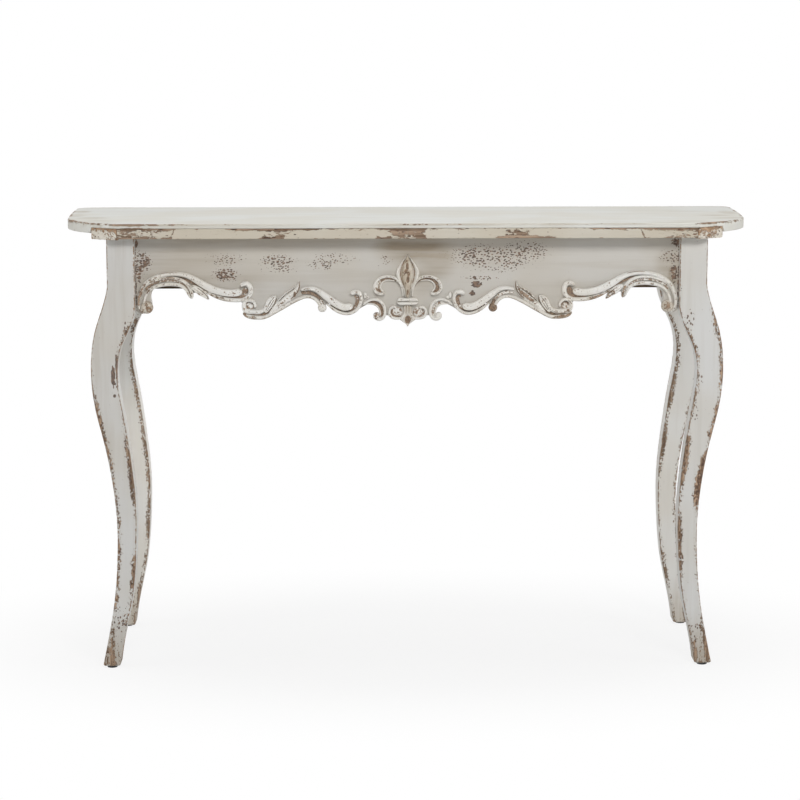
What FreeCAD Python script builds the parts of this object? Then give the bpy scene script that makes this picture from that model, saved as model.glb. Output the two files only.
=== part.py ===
import FreeCAD
import Part
import math
import os

# Pier table: thin top with canted corners, carved front apron, four S-curved legs.
# Millimetres. +Z up, floor at Z = 0, the front faces -Y, and the origin is on the
# floor under the middle of the top.

V = FreeCAD.Vector

# Top
TOP_LENGTH = 1228.0
TOP_DEPTH = 380.0
HEIGHT = 800.0
BOARD_THICK = 18.0
LIP_THICK = 8.0
EDGE_BEVEL = 1.5
BACK_CORNER_R = 28.0
CANT_FROM_END = 108.0
CANT_RUN = 47.0
CANT_DEPTH = 30.0
END_SWEEP_DEPTH = 130.0
END_SWEEP_BULGE = 10.0
END_FLARE = 9.0

# Edge strip and canted blocks under the lip
STRIP_THICK = 8.5
STRIP_SETBACK = 2.0
STRIP_DROP = 8.2
STRIP_END_LENGTH = 97.0
STRIP_JOINT_SLANT = 8.0
BLOCK_SETBACK = 0.8
BLOCK_EXTRA_DROP = 2.0
JOINT_GAP = 0.5

# Legs
LEG_FROM_END = 136.0
LEG_BLOCK_WIDTH = 49.0
LEG_FRONT_CLEAR = 0.7
LEG_BACK_SETBACK = 18.0
FRONT_LEG_DEPTH = 40.0
BACK_LEG_DEPTH = 56.0
BACK_LEG_FOOT_DEPTH = 40.0
LEG_BLOCK_HEIGHT = 94.0
LEG_TAPER_FROM = 560.0
LEG_TAPER_TO = 250.0

# Frame
APRON_SETBACK = 12.0
APRON_THICK = 20.0
APRON_HEIGHT = 167.0
RAIL_HEIGHT = 132.0
RAIL_THICK = 20.0
RAIL_SETBACK = 2.0
SIDE_THICK = 20.0
SIDE_HEIGHT = 105.0
SIDE_ARCH = 22.0
SIDE_INSET = 10.0
TENON_LENGTH = 18.0
SIDE_TENON_LENGTH = 16.0
TENON_THICK = 8.0
TENON_TOP_DROP = 14.0
TENON_HEIGHT = 62.0
TENON_CLEAR = 0.15
TENON_END_CLEAR = 1.0
BRACE_LEG = 76.0
BRACE_HEIGHT = 40.0
BRACE_CLEAR = 8.0
SCREW_FROM_SIDE = 36.5
SCREW_FROM_CROSS = 27.4

# Carving
RELIEF = 9.0
LEAF_RELIEF = 7.0
HOOK_LOWER = 1.0
BAND_BEVEL = 2.2
LEAF_BEVEL = 2.0
PETAL_BEVEL = 1.3
MOULDING_BEVEL = 1.6
MOULDING_GAP = 1.0
WEB_LOWER = 3.0

# Glides and screws
GLIDE_R = 9.0
GLIDE_HEIGHT = 4.0
GLIDE_FLOOR = 1.0
GLIDE_FROM_FRONT = 13.0
NAIL_R = 1.3
NAIL_LENGTH = 20.0
NAIL_LIFT = 0.2
SCREW_R = 2.0
SCREW_HEAD_R = 4.0
SCREW_HEAD_HEIGHT = 3.0
SCREW_BITE = 11.0
HOLE_CLEAR = 0.15
HOLE_END_CLEAR = 0.5

# Positions that follow from the sizes above
HALF = TOP_LENGTH / 2
FRONT = -TOP_DEPTH / 2
BACK = TOP_DEPTH / 2
UNDER = HEIGHT - BOARD_THICK
STRIP_TOP = HEIGHT - LIP_THICK
STRIP_BOTTOM = UNDER - STRIP_DROP
RABBET = STRIP_SETBACK + STRIP_THICK
CANT_X = HALF - CANT_FROM_END
CANT_ANGLE = math.atan2(CANT_DEPTH, CANT_RUN)
STRIP_JOINT_X = CANT_X - STRIP_END_LENGTH
LEG_X = HALF - LEG_FROM_END
CANT_REACH = (LEG_X + LEG_BLOCK_WIDTH - CANT_X) * CANT_DEPTH / CANT_RUN + RABBET / math.cos(CANT_ANGLE)
LEG_FRONT = FRONT + max(RABBET, CANT_REACH) + LEG_FRONT_CLEAR
LEG_BACK = BACK - LEG_BACK_SETBACK
APRON_FRONT = LEG_FRONT + APRON_SETBACK
APRON_BACK = APRON_FRONT + APRON_THICK
APRON_TIP = UNDER - APRON_HEIGHT
RAIL_BACK = LEG_BACK - RAIL_SETBACK
SIDE_OUT = LEG_X + LEG_BLOCK_WIDTH - SIDE_INSET
SIDE_IN = SIDE_OUT - SIDE_THICK


def box(x0, x1, y0, y1, z0, z1):
    return Part.makeBox(x1 - x0, y1 - y0, z1 - z0, V(x0, y0, z0))


def prism(points, z0, z1):
    corners = [V(x, y, z0) for x, y in points]
    return Part.Face(Part.makePolygon(corners + corners[:1])).extrude(V(0, 0, z1 - z0))


def mirrored(shape):
    return shape.mirror(V(0, 0, 0), V(1, 0, 0))


def curve_through(points):
    curve = Part.BSplineCurve()
    curve.interpolate(Points=points)
    return curve


def save(name, shape):
    shape.exportStep("parts/" + name + ".step")


def save_pair(name, right):
    save(name + "_right", right)
    save(name + "_left", mirrored(right))


def cant_point(along, inward):
    """Point of the right-hand cant, along it from its inner end and inward from its face."""
    c, s = math.cos(CANT_ANGLE), math.sin(CANT_ANGLE)
    return (CANT_X + along * c - inward * s, FRONT + along * s + inward * c)


CANT_LENGTH = math.hypot(CANT_RUN, CANT_DEPTH)
MITRE = math.tan(CANT_ANGLE / 2)


def top_board():
    """One board, with a rabbet under the lip for the strip and the canted blocks."""
    cant_end = V(CANT_X + CANT_RUN, FRONT + CANT_DEPTH, UNDER)
    sweep_end = V(HALF - END_FLARE, FRONT + END_SWEEP_DEPTH, UNDER)
    chord = sweep_end - cant_end
    out = V(chord.y, -chord.x, 0).normalize()
    sweep_mid = (cant_end + sweep_end) * 0.5 + out * END_SWEEP_BULGE
    corner_a = V(HALF, BACK - BACK_CORNER_R, UNDER)
    flare_length = corner_a.y - sweep_end.y
    flare_r = (END_FLARE ** 2 + flare_length ** 2) / (2 * END_FLARE)
    turn = math.asin(flare_length / flare_r) / 2
    flare_mid = V(HALF - flare_r * (1 - math.cos(turn)), corner_a.y - flare_r * math.sin(turn), UNDER)
    corner_b = V(HALF - BACK_CORNER_R, BACK, UNDER)
    cut = BACK_CORNER_R * (1 - math.sqrt(0.5))
    corner_mid = V(HALF - cut, BACK - cut, UNDER)
    front_end = V(CANT_X, FRONT, UNDER)
    half = [
        Part.makeLine(front_end, cant_end),
        Part.Arc(cant_end, sweep_mid, sweep_end).toShape(),
        Part.Arc(sweep_end, flare_mid, corner_a).toShape(),
        Part.Arc(corner_a, corner_mid, corner_b).toShape(),
    ]
    other = [mirrored(edge) for edge in half]
    front = Part.makeLine(V(-CANT_X, FRONT, UNDER), front_end)
    back = Part.makeLine(corner_b, V(-corner_b.x, BACK, UNDER))
    wire = Part.Wire(Part.__sortEdges__(half + other + [front, back]))
    board = Part.Face(wire).extrude(V(0, 0, BOARD_THICK))
    rim = [e for e in board.Edges if min(v.Z for v in e.Vertexes) > HEIGHT - 0.01]
    board = board.makeChamfer(EDGE_BEVEL, rim)
    inner_x = CANT_X - RABBET * MITRE
    far = cant_point(CANT_LENGTH, RABBET)
    right = [
        (0, FRONT - 1), (CANT_X + MITRE, FRONT - 1), cant_point(CANT_LENGTH, -1),
        far, (inner_x, FRONT + RABBET), (0, FRONT + RABBET),
    ]
    rabbet = prism(right, UNDER - 1, STRIP_TOP)
    return board.cut(rabbet).cut(mirrored(rabbet))


def strip(x_from, x_to, slant_from, slant_to):
    """A length of edge strip, with its two ends cut on a slant seen from the front, further out below."""
    y = FRONT + STRIP_SETBACK
    corners = [
        V(x_from - slant_from, y, STRIP_TOP), V(x_to - slant_to, y, STRIP_TOP),
        V(x_to + slant_to, y, STRIP_BOTTOM), V(x_from + slant_from, y, STRIP_BOTTOM),
    ]
    return Part.Face(Part.makePolygon(corners + corners[:1])).extrude(V(0, STRIP_THICK, 0))


def end_strip():
    """Right-hand short strip: slanted inner end, outer end mitred to the canted block."""
    length = strip(STRIP_JOINT_X + JOINT_GAP / 2, CANT_X + STRIP_THICK, STRIP_JOINT_SLANT / 2, 0)
    gap = JOINT_GAP / 2
    beyond = prism([
        (CANT_X - gap + MITRE, FRONT - 1), (CANT_X + CANT_RUN, FRONT - 1),
        (CANT_X + CANT_RUN, FRONT + RABBET + 1), (CANT_X - gap - (RABBET + 1) * MITRE, FRONT + RABBET + 1),
    ], STRIP_BOTTOM - 1, STRIP_TOP + 1)
    return length.cut(beyond)


def cant_block():
    """Right-hand corner block, standing a little proud of the strip and hanging lower."""
    gap = JOINT_GAP / 2
    points = [
        (CANT_X + gap - BLOCK_SETBACK * MITRE, FRONT + BLOCK_SETBACK),
        cant_point(CANT_LENGTH - gap, BLOCK_SETBACK),
        cant_point(CANT_LENGTH - gap, RABBET),
        (CANT_X + gap - RABBET * MITRE, FRONT + RABBET),
    ]
    return prism(points, STRIP_BOTTOM - BLOCK_EXTRA_DROP, STRIP_TOP)


# Outline of a right-hand leg seen from the front: distance outward from the inner face
# of its straight top block, and height above the foot. The curve starts at the knee, under
# the block, and is drawn to the height that the block leaves.
LEG_KNEE = 684.0
LEG_OUTER = [(58, 648), (72, 605), (80, 545), (75, 474), (58.5, 402), (45.5, 330), (39, 255),
             (40, 195), (47, 115), (55, 68), (69, 0)]
LEG_INNER = [(38, 0), (28, 60), (14.5, 124), (6.5, 205), (5, 290), (12.5, 372), (25, 460),
             (34, 528), (26, 578), (13, 606), (5, 626), (0, 646)]
LEG_SCALE = (UNDER - GLIDE_HEIGHT - LEG_BLOCK_HEIGHT) / LEG_KNEE


def leg_side():
    """Closed outline of a right-hand leg in the plane Y = 0."""
    def at(offset, height):
        return V(LEG_X + offset, 0, GLIDE_HEIGHT + height * LEG_SCALE)
    outer_top = V(LEG_X + LEG_BLOCK_WIDTH, 0, UNDER)
    outer_knee = at(LEG_BLOCK_WIDTH, LEG_KNEE)
    inner_top = V(LEG_X, 0, UNDER)
    inner_knee = at(*LEG_INNER[-1])
    outer = curve_through([outer_knee] + [at(*p) for p in LEG_OUTER])
    inner = curve_through([at(*p) for p in LEG_INNER])
    edges = [
        Part.makeLine(outer_top, outer_knee), outer.toShape(),
        Part.makeLine(at(*LEG_OUTER[-1]), at(*LEG_INNER[0])), inner.toShape(),
        Part.makeLine(inner_knee, inner_top), Part.makeLine(inner_top, outer_top),
    ]
    return Part.Face(Part.Wire(edges))


TENON_Z1 = UNDER - TENON_TOP_DROP
TENON_Z0 = TENON_Z1 - TENON_HEIGHT
APRON_TENON_Y = (APRON_FRONT + APRON_BACK) / 2
RAIL_TENON_Y = RAIL_BACK - RAIL_THICK / 2
SIDE_TENON_X = (SIDE_OUT + SIDE_IN) / 2
GLIDE_X = LEG_X + (LEG_OUTER[-1][0] + LEG_INNER[0][0]) / 2
GLIDE_FRONT_Y = LEG_FRONT + GLIDE_FROM_FRONT
GLIDE_BACK_Y = LEG_BACK - BACK_LEG_FOOT_DEPTH / 2


def cross_tenon(y, clear, end_clear):
    """Tenon of the front apron or back rail into the right-hand leg."""
    half = TENON_THICK / 2 + clear
    x_end = LEG_X + TENON_LENGTH + end_clear
    return box(LEG_X - 1, x_end, y - half, y + half, TENON_Z0 - clear, TENON_Z1 + clear)


def side_tenon(y_shoulder, direction, clear, end_clear):
    """Tenon of the right-hand side apron, forwards or backwards from its shoulder."""
    half = TENON_THICK / 2 + clear
    y_end = y_shoulder + direction * (SIDE_TENON_LENGTH + end_clear)
    y0, y1 = sorted([y_shoulder - direction, y_end])
    return box(SIDE_TENON_X - half, SIDE_TENON_X + half, y0, y1, TENON_Z0 - clear, TENON_Z1 + clear)


def nail_hole(y):
    length = GLIDE_FLOOR + NAIL_LIFT + NAIL_LENGTH + HOLE_END_CLEAR
    return Part.makeCylinder(NAIL_R + HOLE_CLEAR, length, V(GLIDE_X, y, 0))


def front_leg():
    face = leg_side()
    face.translate(V(0, LEG_FRONT, 0))
    leg = face.extrude(V(0, FRONT_LEG_DEPTH, 0))
    leg = leg.cut(cross_tenon(APRON_TENON_Y, TENON_CLEAR, TENON_END_CLEAR))
    leg = leg.cut(side_tenon(LEG_FRONT + FRONT_LEG_DEPTH, -1, TENON_CLEAR, TENON_END_CLEAR))
    return leg.cut(nail_hole(GLIDE_FRONT_Y))


def back_leg():
    """Deeper at the top than at the foot: the front face leans back below the knee."""
    face = leg_side()
    face.translate(V(0, LEG_BACK - BACK_LEG_DEPTH, 0))
    leg = face.extrude(V(0, BACK_LEG_DEPTH, 0))
    y0 = LEG_BACK - BACK_LEG_DEPTH
    y1 = LEG_BACK - BACK_LEG_FOOT_DEPTH
    high = GLIDE_HEIGHT + LEG_TAPER_FROM * LEG_SCALE
    low = GLIDE_HEIGHT + LEG_TAPER_TO * LEG_SCALE
    corners = [V(0, y0 - 1, high), V(0, y0, high), V(0, y1, low), V(0, y1, 0), V(0, y0 - 1, 0)]
    taper = Part.Face(Part.makePolygon(corners + corners[:1])).extrude(V(HALF, 0, 0))
    leg = leg.cut(taper)
    leg = leg.cut(cross_tenon(RAIL_TENON_Y, TENON_CLEAR, TENON_END_CLEAR))
    leg = leg.cut(side_tenon(y0, 1, TENON_CLEAR, TENON_END_CLEAR))
    return leg.cut(nail_hole(GLIDE_BACK_Y))


# Lower edge of the apron board, right half: distance from the middle and height above
# the apron's lowest point. It and the carving are drawn to the width between the legs.
APRON_EDGE = [(478, 31), (462, 25), (450.5, 36), (452, 54), (437, 75), (413, 79.5), (395, 72.5),
              (385, 62), (371, 61.5), (352, 64.5), (329, 54), (304, 48.5), (290, 42), (284, 25),
              (262, 16.5), (232, 26), (200, 43.5), (178, 52), (161, 47.5), (151, 37), (138, 41.5),
              (122, 29.5), (106, 25), (88, 30), (66, 40.5), (53, 37), (44, 22.5), (30, 19.5),
              (15, 15), (0, 3)]
CARVING = LEG_X / APRON_EDGE[0][0]


def carved_at(x, height, y):
    return V(x * CARVING, y, APRON_TIP + height * CARVING)


def front_apron():
    """Flat board with the scrolled lower edge, tenoned into both front legs."""
    right = [carved_at(x, h, APRON_FRONT) for x, h in APRON_EDGE]
    low_r = curve_through(right)
    low_l = curve_through([V(-p.x, p.y, p.z) for p in right])
    top_r = V(LEG_X, APRON_FRONT, UNDER)
    top_l = V(-LEG_X, APRON_FRONT, UNDER)
    left_foot = V(-right[0].x, APRON_FRONT, right[0].z)
    edges = [
        Part.makeLine(top_l, top_r), Part.makeLine(top_r, right[0]), low_r.toShape(),
        low_l.toShape(), Part.makeLine(left_foot, top_l),
    ]
    board = Part.Face(Part.Wire(Part.__sortEdges__(edges))).extrude(V(0, APRON_THICK, 0))
    tenon = cross_tenon(APRON_TENON_Y, 0, 0)
    return board.fuse(tenon).fuse(mirrored(tenon)).removeSplitter()


def back_rail():
    board = box(-LEG_X, LEG_X, RAIL_BACK - RAIL_THICK, RAIL_BACK, UNDER - RAIL_HEIGHT, UNDER)
    tenon = cross_tenon(RAIL_TENON_Y, 0, 0)
    return board.fuse(tenon).fuse(mirrored(tenon)).removeSplitter()


def side_apron():
    """Right-hand side apron with an arched lower edge."""
    y0 = LEG_FRONT + FRONT_LEG_DEPTH
    y1 = LEG_BACK - BACK_LEG_DEPTH
    low = UNDER - SIDE_HEIGHT
    a, b = V(SIDE_IN, y0, low), V(SIDE_IN, y1, low)
    crown = V(SIDE_IN, (y0 + y1) / 2, low + SIDE_ARCH)
    top_a, top_b = V(SIDE_IN, y0, UNDER), V(SIDE_IN, y1, UNDER)
    edges = [Part.Arc(a, crown, b).toShape(), Part.makeLine(b, top_b), Part.makeLine(top_b, top_a),
             Part.makeLine(top_a, a)]
    board = Part.Face(Part.Wire(edges)).extrude(V(SIDE_THICK, 0, 0))
    board = board.fuse(side_tenon(y0, -1, 0, 0)).fuse(side_tenon(y1, 1, 0, 0))
    return board.removeSplitter()


def top_screw(x, y):
    """Countersunk wood screw pointing up, with its head flush under the corner block."""
    z0 = UNDER - BRACE_HEIGHT
    head = Part.makeCone(SCREW_HEAD_R, SCREW_R, SCREW_HEAD_HEIGHT, V(x, y, z0))
    shank = Part.makeCylinder(SCREW_R, BRACE_HEIGHT + SCREW_BITE, V(x, y, z0))
    return head.fuse(shank).removeSplitter()


def screw_hole(x, y):
    z0 = UNDER - BRACE_HEIGHT
    head = Part.makeCone(SCREW_HEAD_R + HOLE_CLEAR, SCREW_R + HOLE_CLEAR, SCREW_HEAD_HEIGHT, V(x, y, z0))
    shank = Part.makeCylinder(SCREW_R + HOLE_CLEAR, BRACE_HEIGHT + SCREW_BITE + HOLE_END_CLEAR, V(x, y, z0))
    return head.fuse(shank)


def brace(y_frame, inward):
    """Right-hand corner block: touches one cross board and the side apron, clear of the leg."""
    near = BRACE_CLEAR
    leg_gap = LEG_X - near
    side = y_frame + inward * BRACE_LEG
    leg_face = {1: LEG_FRONT + FRONT_LEG_DEPTH, -1: LEG_BACK - BACK_LEG_DEPTH}[inward]
    past_leg = leg_face + inward * near
    points = [
        (leg_gap, y_frame), (SIDE_IN - BRACE_LEG, y_frame), (SIDE_IN, side + inward * near),
        (SIDE_IN, past_leg), (leg_gap, past_leg),
    ]
    return prism(points, UNDER - BRACE_HEIGHT, UNDER)


BRACE_FRONT_Y = APRON_BACK
BRACE_REAR_Y = RAIL_BACK - RAIL_THICK
SCREW_X = SIDE_IN - SCREW_FROM_SIDE
SCREW_FRONT_Y = BRACE_FRONT_Y + SCREW_FROM_CROSS
SCREW_REAR_Y = BRACE_REAR_Y - SCREW_FROM_CROSS


def band(path, relief, shrink):
    """Carved band: a path of (x, height, width), with its crest narrowed by shrink each side."""
    points = [carved_at(x, h, 0) for x, h, w in path]
    lengths = [0.0]
    for a, b in zip(points, points[1:]):
        lengths.append(lengths[-1] + a.distanceToPoint(b))
    spine = Part.BSplineCurve()
    spine.interpolate(Points=points, Parameters=lengths)
    sides = []
    for t in lengths:
        along = spine.tangent(t)[0]
        sides.append(V(-along.z, 0, along.x))

    def outline(y, narrower):
        left = []
        right = []
        for p, side, (x, h, w) in zip(points, sides, path):
            half = CARVING * w / 2 - min(narrower, 0.35 * CARVING * w)
            centre = V(p.x, y, p.z)
            left.append(centre + side * half)
            right.append(centre - side * half)
        edges = [curve_through(left).toShape(), Part.makeLine(left[-1], right[-1]),
                 curve_through(right[::-1]).toShape(), Part.makeLine(right[0], left[0])]
        return Part.Wire(edges)

    root = outline(APRON_FRONT, 0)
    shoulder = outline(APRON_FRONT - 0.55 * relief, 0)
    crest = outline(APRON_FRONT - relief, shrink)
    return Part.makeLoft([root, shoulder, crest], True, True)


def boss(place, relief):
    """Round carved knob (x, height, radius) with a softened rim."""
    x, height, drawn_radius = place
    radius = drawn_radius * CARVING
    centre = carved_at(x, height, APRON_FRONT)
    knob = Part.makeCylinder(radius, relief, centre, V(0, -1, 0))
    rim = [e for e in knob.Edges if max(v.Y for v in e.Vertexes) < APRON_FRONT - relief + 0.01]
    return knob.makeFillet(0.4 * radius, rim)


# Carved bands of the right half: distance from the middle, height above the apron's
# lowest point, width.
OUTER_SCROLL = [(450.5, 41, 5), (450.3, 33, 7), (455, 26, 7), (464, 25, 7), (470.5, 31, 7),
                (471.5, 41, 7.5), (468, 53, 7.5), (460, 69, 8.5), (447, 83.5, 9), (429, 92, 8),
                (412, 94.3, 7.6), (395, 92.8, 8), (378, 88.5, 10), (364, 81, 13), (350, 71.4, 16),
                (335, 63, 18.5), (320, 57.8, 20), (305, 56, 21.5), (294, 56.5, 18), (289, 58.5, 11)]
OUTER_HOOK = [(303, 50, 9), (291, 50.5, 9), (281, 54.5, 8.5), (275, 62.5, 8.5), (276, 71.5, 8),
              (283, 77, 7), (290, 75, 6.5), (293.5, 71.5, 5)]
ARCH_LEAF = [(457.5, 53, 6), (454.5, 59, 8.5), (447.5, 68.5, 10), (437, 77, 11), (423, 82, 11),
             (408, 82.8, 11.5), (396, 79, 13), (387, 71, 13), (382.5, 61.5, 10), (381, 50.5, 1.5)]
ARCH_TIP = [(377, 75, 4.5), (372, 68.5, 11), (363.3, 61, 13), (355, 55, 9), (350.3, 49, 1.5)]
MIDDLE_SCROLL = [(271.5, 35.5, 5), (272, 42.3, 5), (278, 45.5, 4.6), (284.6, 43.3, 5.4),
                 (288.2, 37, 7.2), (286.5, 29, 9.5), (280, 23.3, 11), (270, 21.3, 14.5),
                 (259, 21.5, 16), (248, 23, 14), (236, 27, 13), (222, 34.3, 13.5), (207, 42, 11.5),
                 (195, 48, 9.5), (184, 52.5, 8), (174, 54.2, 7.5), (165, 51.8, 7), (158.5, 46, 6.5),
                 (154, 39.5, 6), (152.3, 36.8, 5.5)]
SMALL_LEAF = [(246.5, 35.5, 9), (241.5, 41, 13), (238, 47, 11.5), (234.5, 52, 6), (231.5, 55, 1.5)]
LONG_LEAF = [(229, 42, 5), (220, 48.5, 10), (210.5, 54.8, 13), (201, 61.3, 13.5), (194.5, 67.8, 10.5),
             (191.3, 75, 5.5), (190.5, 82, 1.2)]
INNER_SCROLL = [(186, 63.5, 6), (179, 66, 9), (169, 65.8, 9.5), (158, 61.3, 12), (148.5, 55, 14),
                (140.5, 50, 15), (133.5, 44, 17), (123.5, 36.7, 17), (112.5, 31.8, 18.8),
                (104, 31.2, 19), (98.5, 33.5, 11)]
INNER_HOOK = [(104, 25.5, 8), (95.5, 26.5, 7.5), (88, 33.5, 8), (83.8, 42, 7.5), (83.3, 51, 7),
              (87, 59, 7), (93.5, 62, 7.5), (99.5, 59.3, 7), (102.5, 55, 4.5)]
C_SCROLL = [(77, 37.5, 4.5), (71, 42.3, 9.5), (61.5, 44.8, 13.5), (53, 42.3, 13.8), (47.3, 36.3, 14),
            (44.7, 28.3, 13.5), (45.2, 21, 12), (49.5, 17, 9.5), (55, 18.5, 9)]
SIDE_PETAL = [(8.6, 54.5, 3), (10.8, 65, 3.6), (16, 75.5, 4.6), (24, 83.5, 5.4), (35, 87.3, 5.6),
              (46, 85.8, 6.5), (54, 79.3, 8), (56.5, 71, 9.3), (54, 63.7, 9), (47.5, 60.3, 7.5),
              (42, 60.6, 5.5)]
FOOT_CURL = [(12.5, 36.5, 3.6), (20, 35.8, 4), (27, 34, 4.5), (31.5, 29.5, 5), (32.2, 23, 5),
             (28.5, 17.8, 5), (21.5, 16.5, 4.5), (16.5, 18, 3)]

# Carved knobs of the right half: distance from the middle, height, radius.
LEG_CURL_EYE = (461, 35, 5.5)
SCROLL_DROP = (150.3, 34.3, 7.5)
C_SCROLL_BALL = (55.2, 19.2, 5.6)
LARGE_BEAD = (75, 54.8, 3.2)
SMALL_BEAD = (71.9, 51.6, 2.3)
CURL_EYE = (20.3, 26, 6)
LARGE_BEAD_RELIEF = 4.0
SMALL_BEAD_RELIEF = 3.2

# Right-hand outlines of the fleur's petal and foot, and the heights of its two mouldings.
CENTRE_PETAL = [(0, 129), (8.8, 117.5), (16.2, 107), (20.2, 96.5), (18.7, 87), (13.4, 77.5), (8.5, 68),
                (5.8, 58.5), (5.2, 53.5)]
FLEUR_FOOT = [(7.5, 39), (5.5, 33), (5.5, 26), (8.5, 20), (13.5, 14.5)]
MOULDING_HALF = 17.5
MOULDING_STEP = 2.0
MOULDING_LOW = 39.7
MOULDING_MID = 46.2
MOULDING_HIGH = 52.6


def outer_scroll():
    scroll = band(OUTER_SCROLL, RELIEF, BAND_BEVEL)
    scroll = scroll.fuse(band(OUTER_HOOK, RELIEF - HOOK_LOWER, BAND_BEVEL))
    return Part.makeCompound([scroll.removeSplitter(), boss(LEG_CURL_EYE, LEAF_RELIEF)])


def arch_leaves():
    return Part.makeCompound([band(path, LEAF_RELIEF, LEAF_BEVEL) for path in (ARCH_LEAF, ARCH_TIP)])


def middle_scroll():
    scroll = band(MIDDLE_SCROLL, RELIEF - HOOK_LOWER / 2, BAND_BEVEL)
    return scroll.fuse(boss(SCROLL_DROP, RELIEF - HOOK_LOWER)).removeSplitter()


def leaf_pair():
    return Part.makeCompound([band(path, LEAF_RELIEF, LEAF_BEVEL) for path in (SMALL_LEAF, LONG_LEAF)])


def inner_scroll():
    scroll = band(INNER_SCROLL, RELIEF, BAND_BEVEL)
    return scroll.fuse(band(INNER_HOOK, RELIEF - HOOK_LOWER, BAND_BEVEL)).removeSplitter()


def c_scroll():
    scroll = band(C_SCROLL, RELIEF - HOOK_LOWER, BAND_BEVEL)
    return scroll.fuse(boss(C_SCROLL_BALL, RELIEF - HOOK_LOWER / 2)).removeSplitter()


def bead_drops():
    large = boss(LARGE_BEAD, LARGE_BEAD_RELIEF)
    return large.fuse(boss(SMALL_BEAD, SMALL_BEAD_RELIEF)).removeSplitter()


def foot_curl():
    curl = band(FOOT_CURL, LEAF_RELIEF - HOOK_LOWER, PETAL_BEVEL)
    return Part.makeCompound([curl, boss(CURL_EYE, LEAF_RELIEF - 2 * HOOK_LOWER)])


def flat_carving(half_outline, relief, shrink, point_low):
    """Symmetrical carved piece from its right-hand outline, drawn from top to bottom."""
    def outline(y, narrower):
        right = []
        for x, h in half_outline:
            right.append(carved_at(max(x - narrower, 0), h, y))
        left = [V(-p.x, p.y, p.z) for p in right]
        edges = [curve_through(right).toShape()]
        if point_low is not None:
            tip = carved_at(0, point_low + narrower, y)
            edges += [Part.makeLine(right[-1], tip), Part.makeLine(tip, left[-1])]
        else:
            edges.append(Part.makeLine(right[-1], left[-1]))
        edges.append(curve_through(left[::-1]).toShape())
        if right[0].x > 0.01:
            edges.append(Part.makeLine(left[0], right[0]))
        return Part.Wire(edges)
    root = outline(APRON_FRONT, 0)
    shoulder = outline(APRON_FRONT - 0.5 * relief, 0)
    crest = outline(APRON_FRONT - relief, shrink)
    return Part.makeLoft([root, shoulder, crest], True, True)


def fleur_band():
    """Two cross mouldings on a thin web."""
    y = APRON_FRONT
    half = MOULDING_HALF * CARVING
    low, mid, high = [APRON_TIP + h * CARVING for h in (MOULDING_LOW, MOULDING_MID, MOULDING_HIGH)]
    gap = MOULDING_GAP / 2
    step = MOULDING_STEP * CARVING
    lower = box(-half, half, y - RELIEF, y, low, mid - gap)
    upper = box(step - half, half - step, y - RELIEF, y, mid + gap, high)
    web = box(step - half, half - step, y - RELIEF + WEB_LOWER, y, mid - gap, mid + gap)
    soft = []
    for bar in (lower, upper):
        crest = [e for e in bar.Edges if max(v.Y for v in e.Vertexes) < y - RELIEF + 0.01]
        soft.append(bar.makeChamfer(MOULDING_BEVEL, crest))
    return soft[0].fuse(soft[1]).fuse(web).removeSplitter()


def glide(x, y):
    pad = Part.makeCylinder(GLIDE_R, GLIDE_HEIGHT, V(x, y, 0))
    return pad.cut(Part.makeCylinder(NAIL_R + HOLE_CLEAR, GLIDE_HEIGHT, V(x, y, GLIDE_FLOOR)))


def nail(x, y):
    return Part.makeCylinder(NAIL_R, NAIL_LENGTH, V(x, y, GLIDE_FLOOR + NAIL_LIFT))


def main():
    os.makedirs("parts", exist_ok=True)
    corners = [(sign * SCREW_X, y) for sign in (1, -1) for y in (SCREW_FRONT_Y, SCREW_REAR_Y)]
    board = top_board()
    for x, y in corners:
        board = board.cut(screw_hole(x, y))
    save("top_board", board)
    gap = JOINT_GAP / 2
    save_pair("edge_strip_middle", strip(gap, STRIP_JOINT_X - gap, 0, STRIP_JOINT_SLANT / 2))
    save_pair("edge_strip_end", end_strip())
    save_pair("cant_block", cant_block())
    save_pair("leg_front", front_leg())
    save_pair("leg_back", back_leg())
    save("front_apron", front_apron())
    save("back_rail", back_rail())
    save_pair("side_apron", side_apron())
    save_pair("brace_front", brace(BRACE_FRONT_Y, 1).cut(screw_hole(SCREW_X, SCREW_FRONT_Y)))
    save_pair("brace_back", brace(BRACE_REAR_Y, -1).cut(screw_hole(SCREW_X, SCREW_REAR_Y)))
    save_pair("outer_scroll", outer_scroll())
    save_pair("arch_leaves", arch_leaves())
    save_pair("middle_scroll", middle_scroll())
    save_pair("leaf_pair", leaf_pair())
    save_pair("inner_scroll", inner_scroll())
    save_pair("c_scroll", c_scroll())
    save_pair("bead_drops", bead_drops())
    save_pair("fleur_side_petal", band(SIDE_PETAL, RELIEF - HOOK_LOWER, PETAL_BEVEL))
    save_pair("fleur_curl", foot_curl())
    save("fleur_petal", flat_carving(CENTRE_PETAL, RELIEF, BAND_BEVEL, None))
    save("fleur_band", fleur_band())
    save("fleur_foot", flat_carving(FLEUR_FOOT, RELIEF, LEAF_BEVEL, 0))
    for side, sign in (("right", 1), ("left", -1)):
        save("glide_front_" + side, glide(sign * GLIDE_X, GLIDE_FRONT_Y))
        save("glide_back_" + side, glide(sign * GLIDE_X, GLIDE_BACK_Y))
    feet = [(sign * GLIDE_X, y) for sign in (1, -1) for y in (GLIDE_FRONT_Y, GLIDE_BACK_Y)]
    save("glide_nails", Part.makeCompound([nail(x, y) for x, y in feet]))
    save("top_screws", Part.makeCompound([top_screw(x, y) for x, y in corners]))


main()
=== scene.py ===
import cmath
import math

import bpy
import numpy as np
from mathutils import Matrix, Vector, noise


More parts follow.
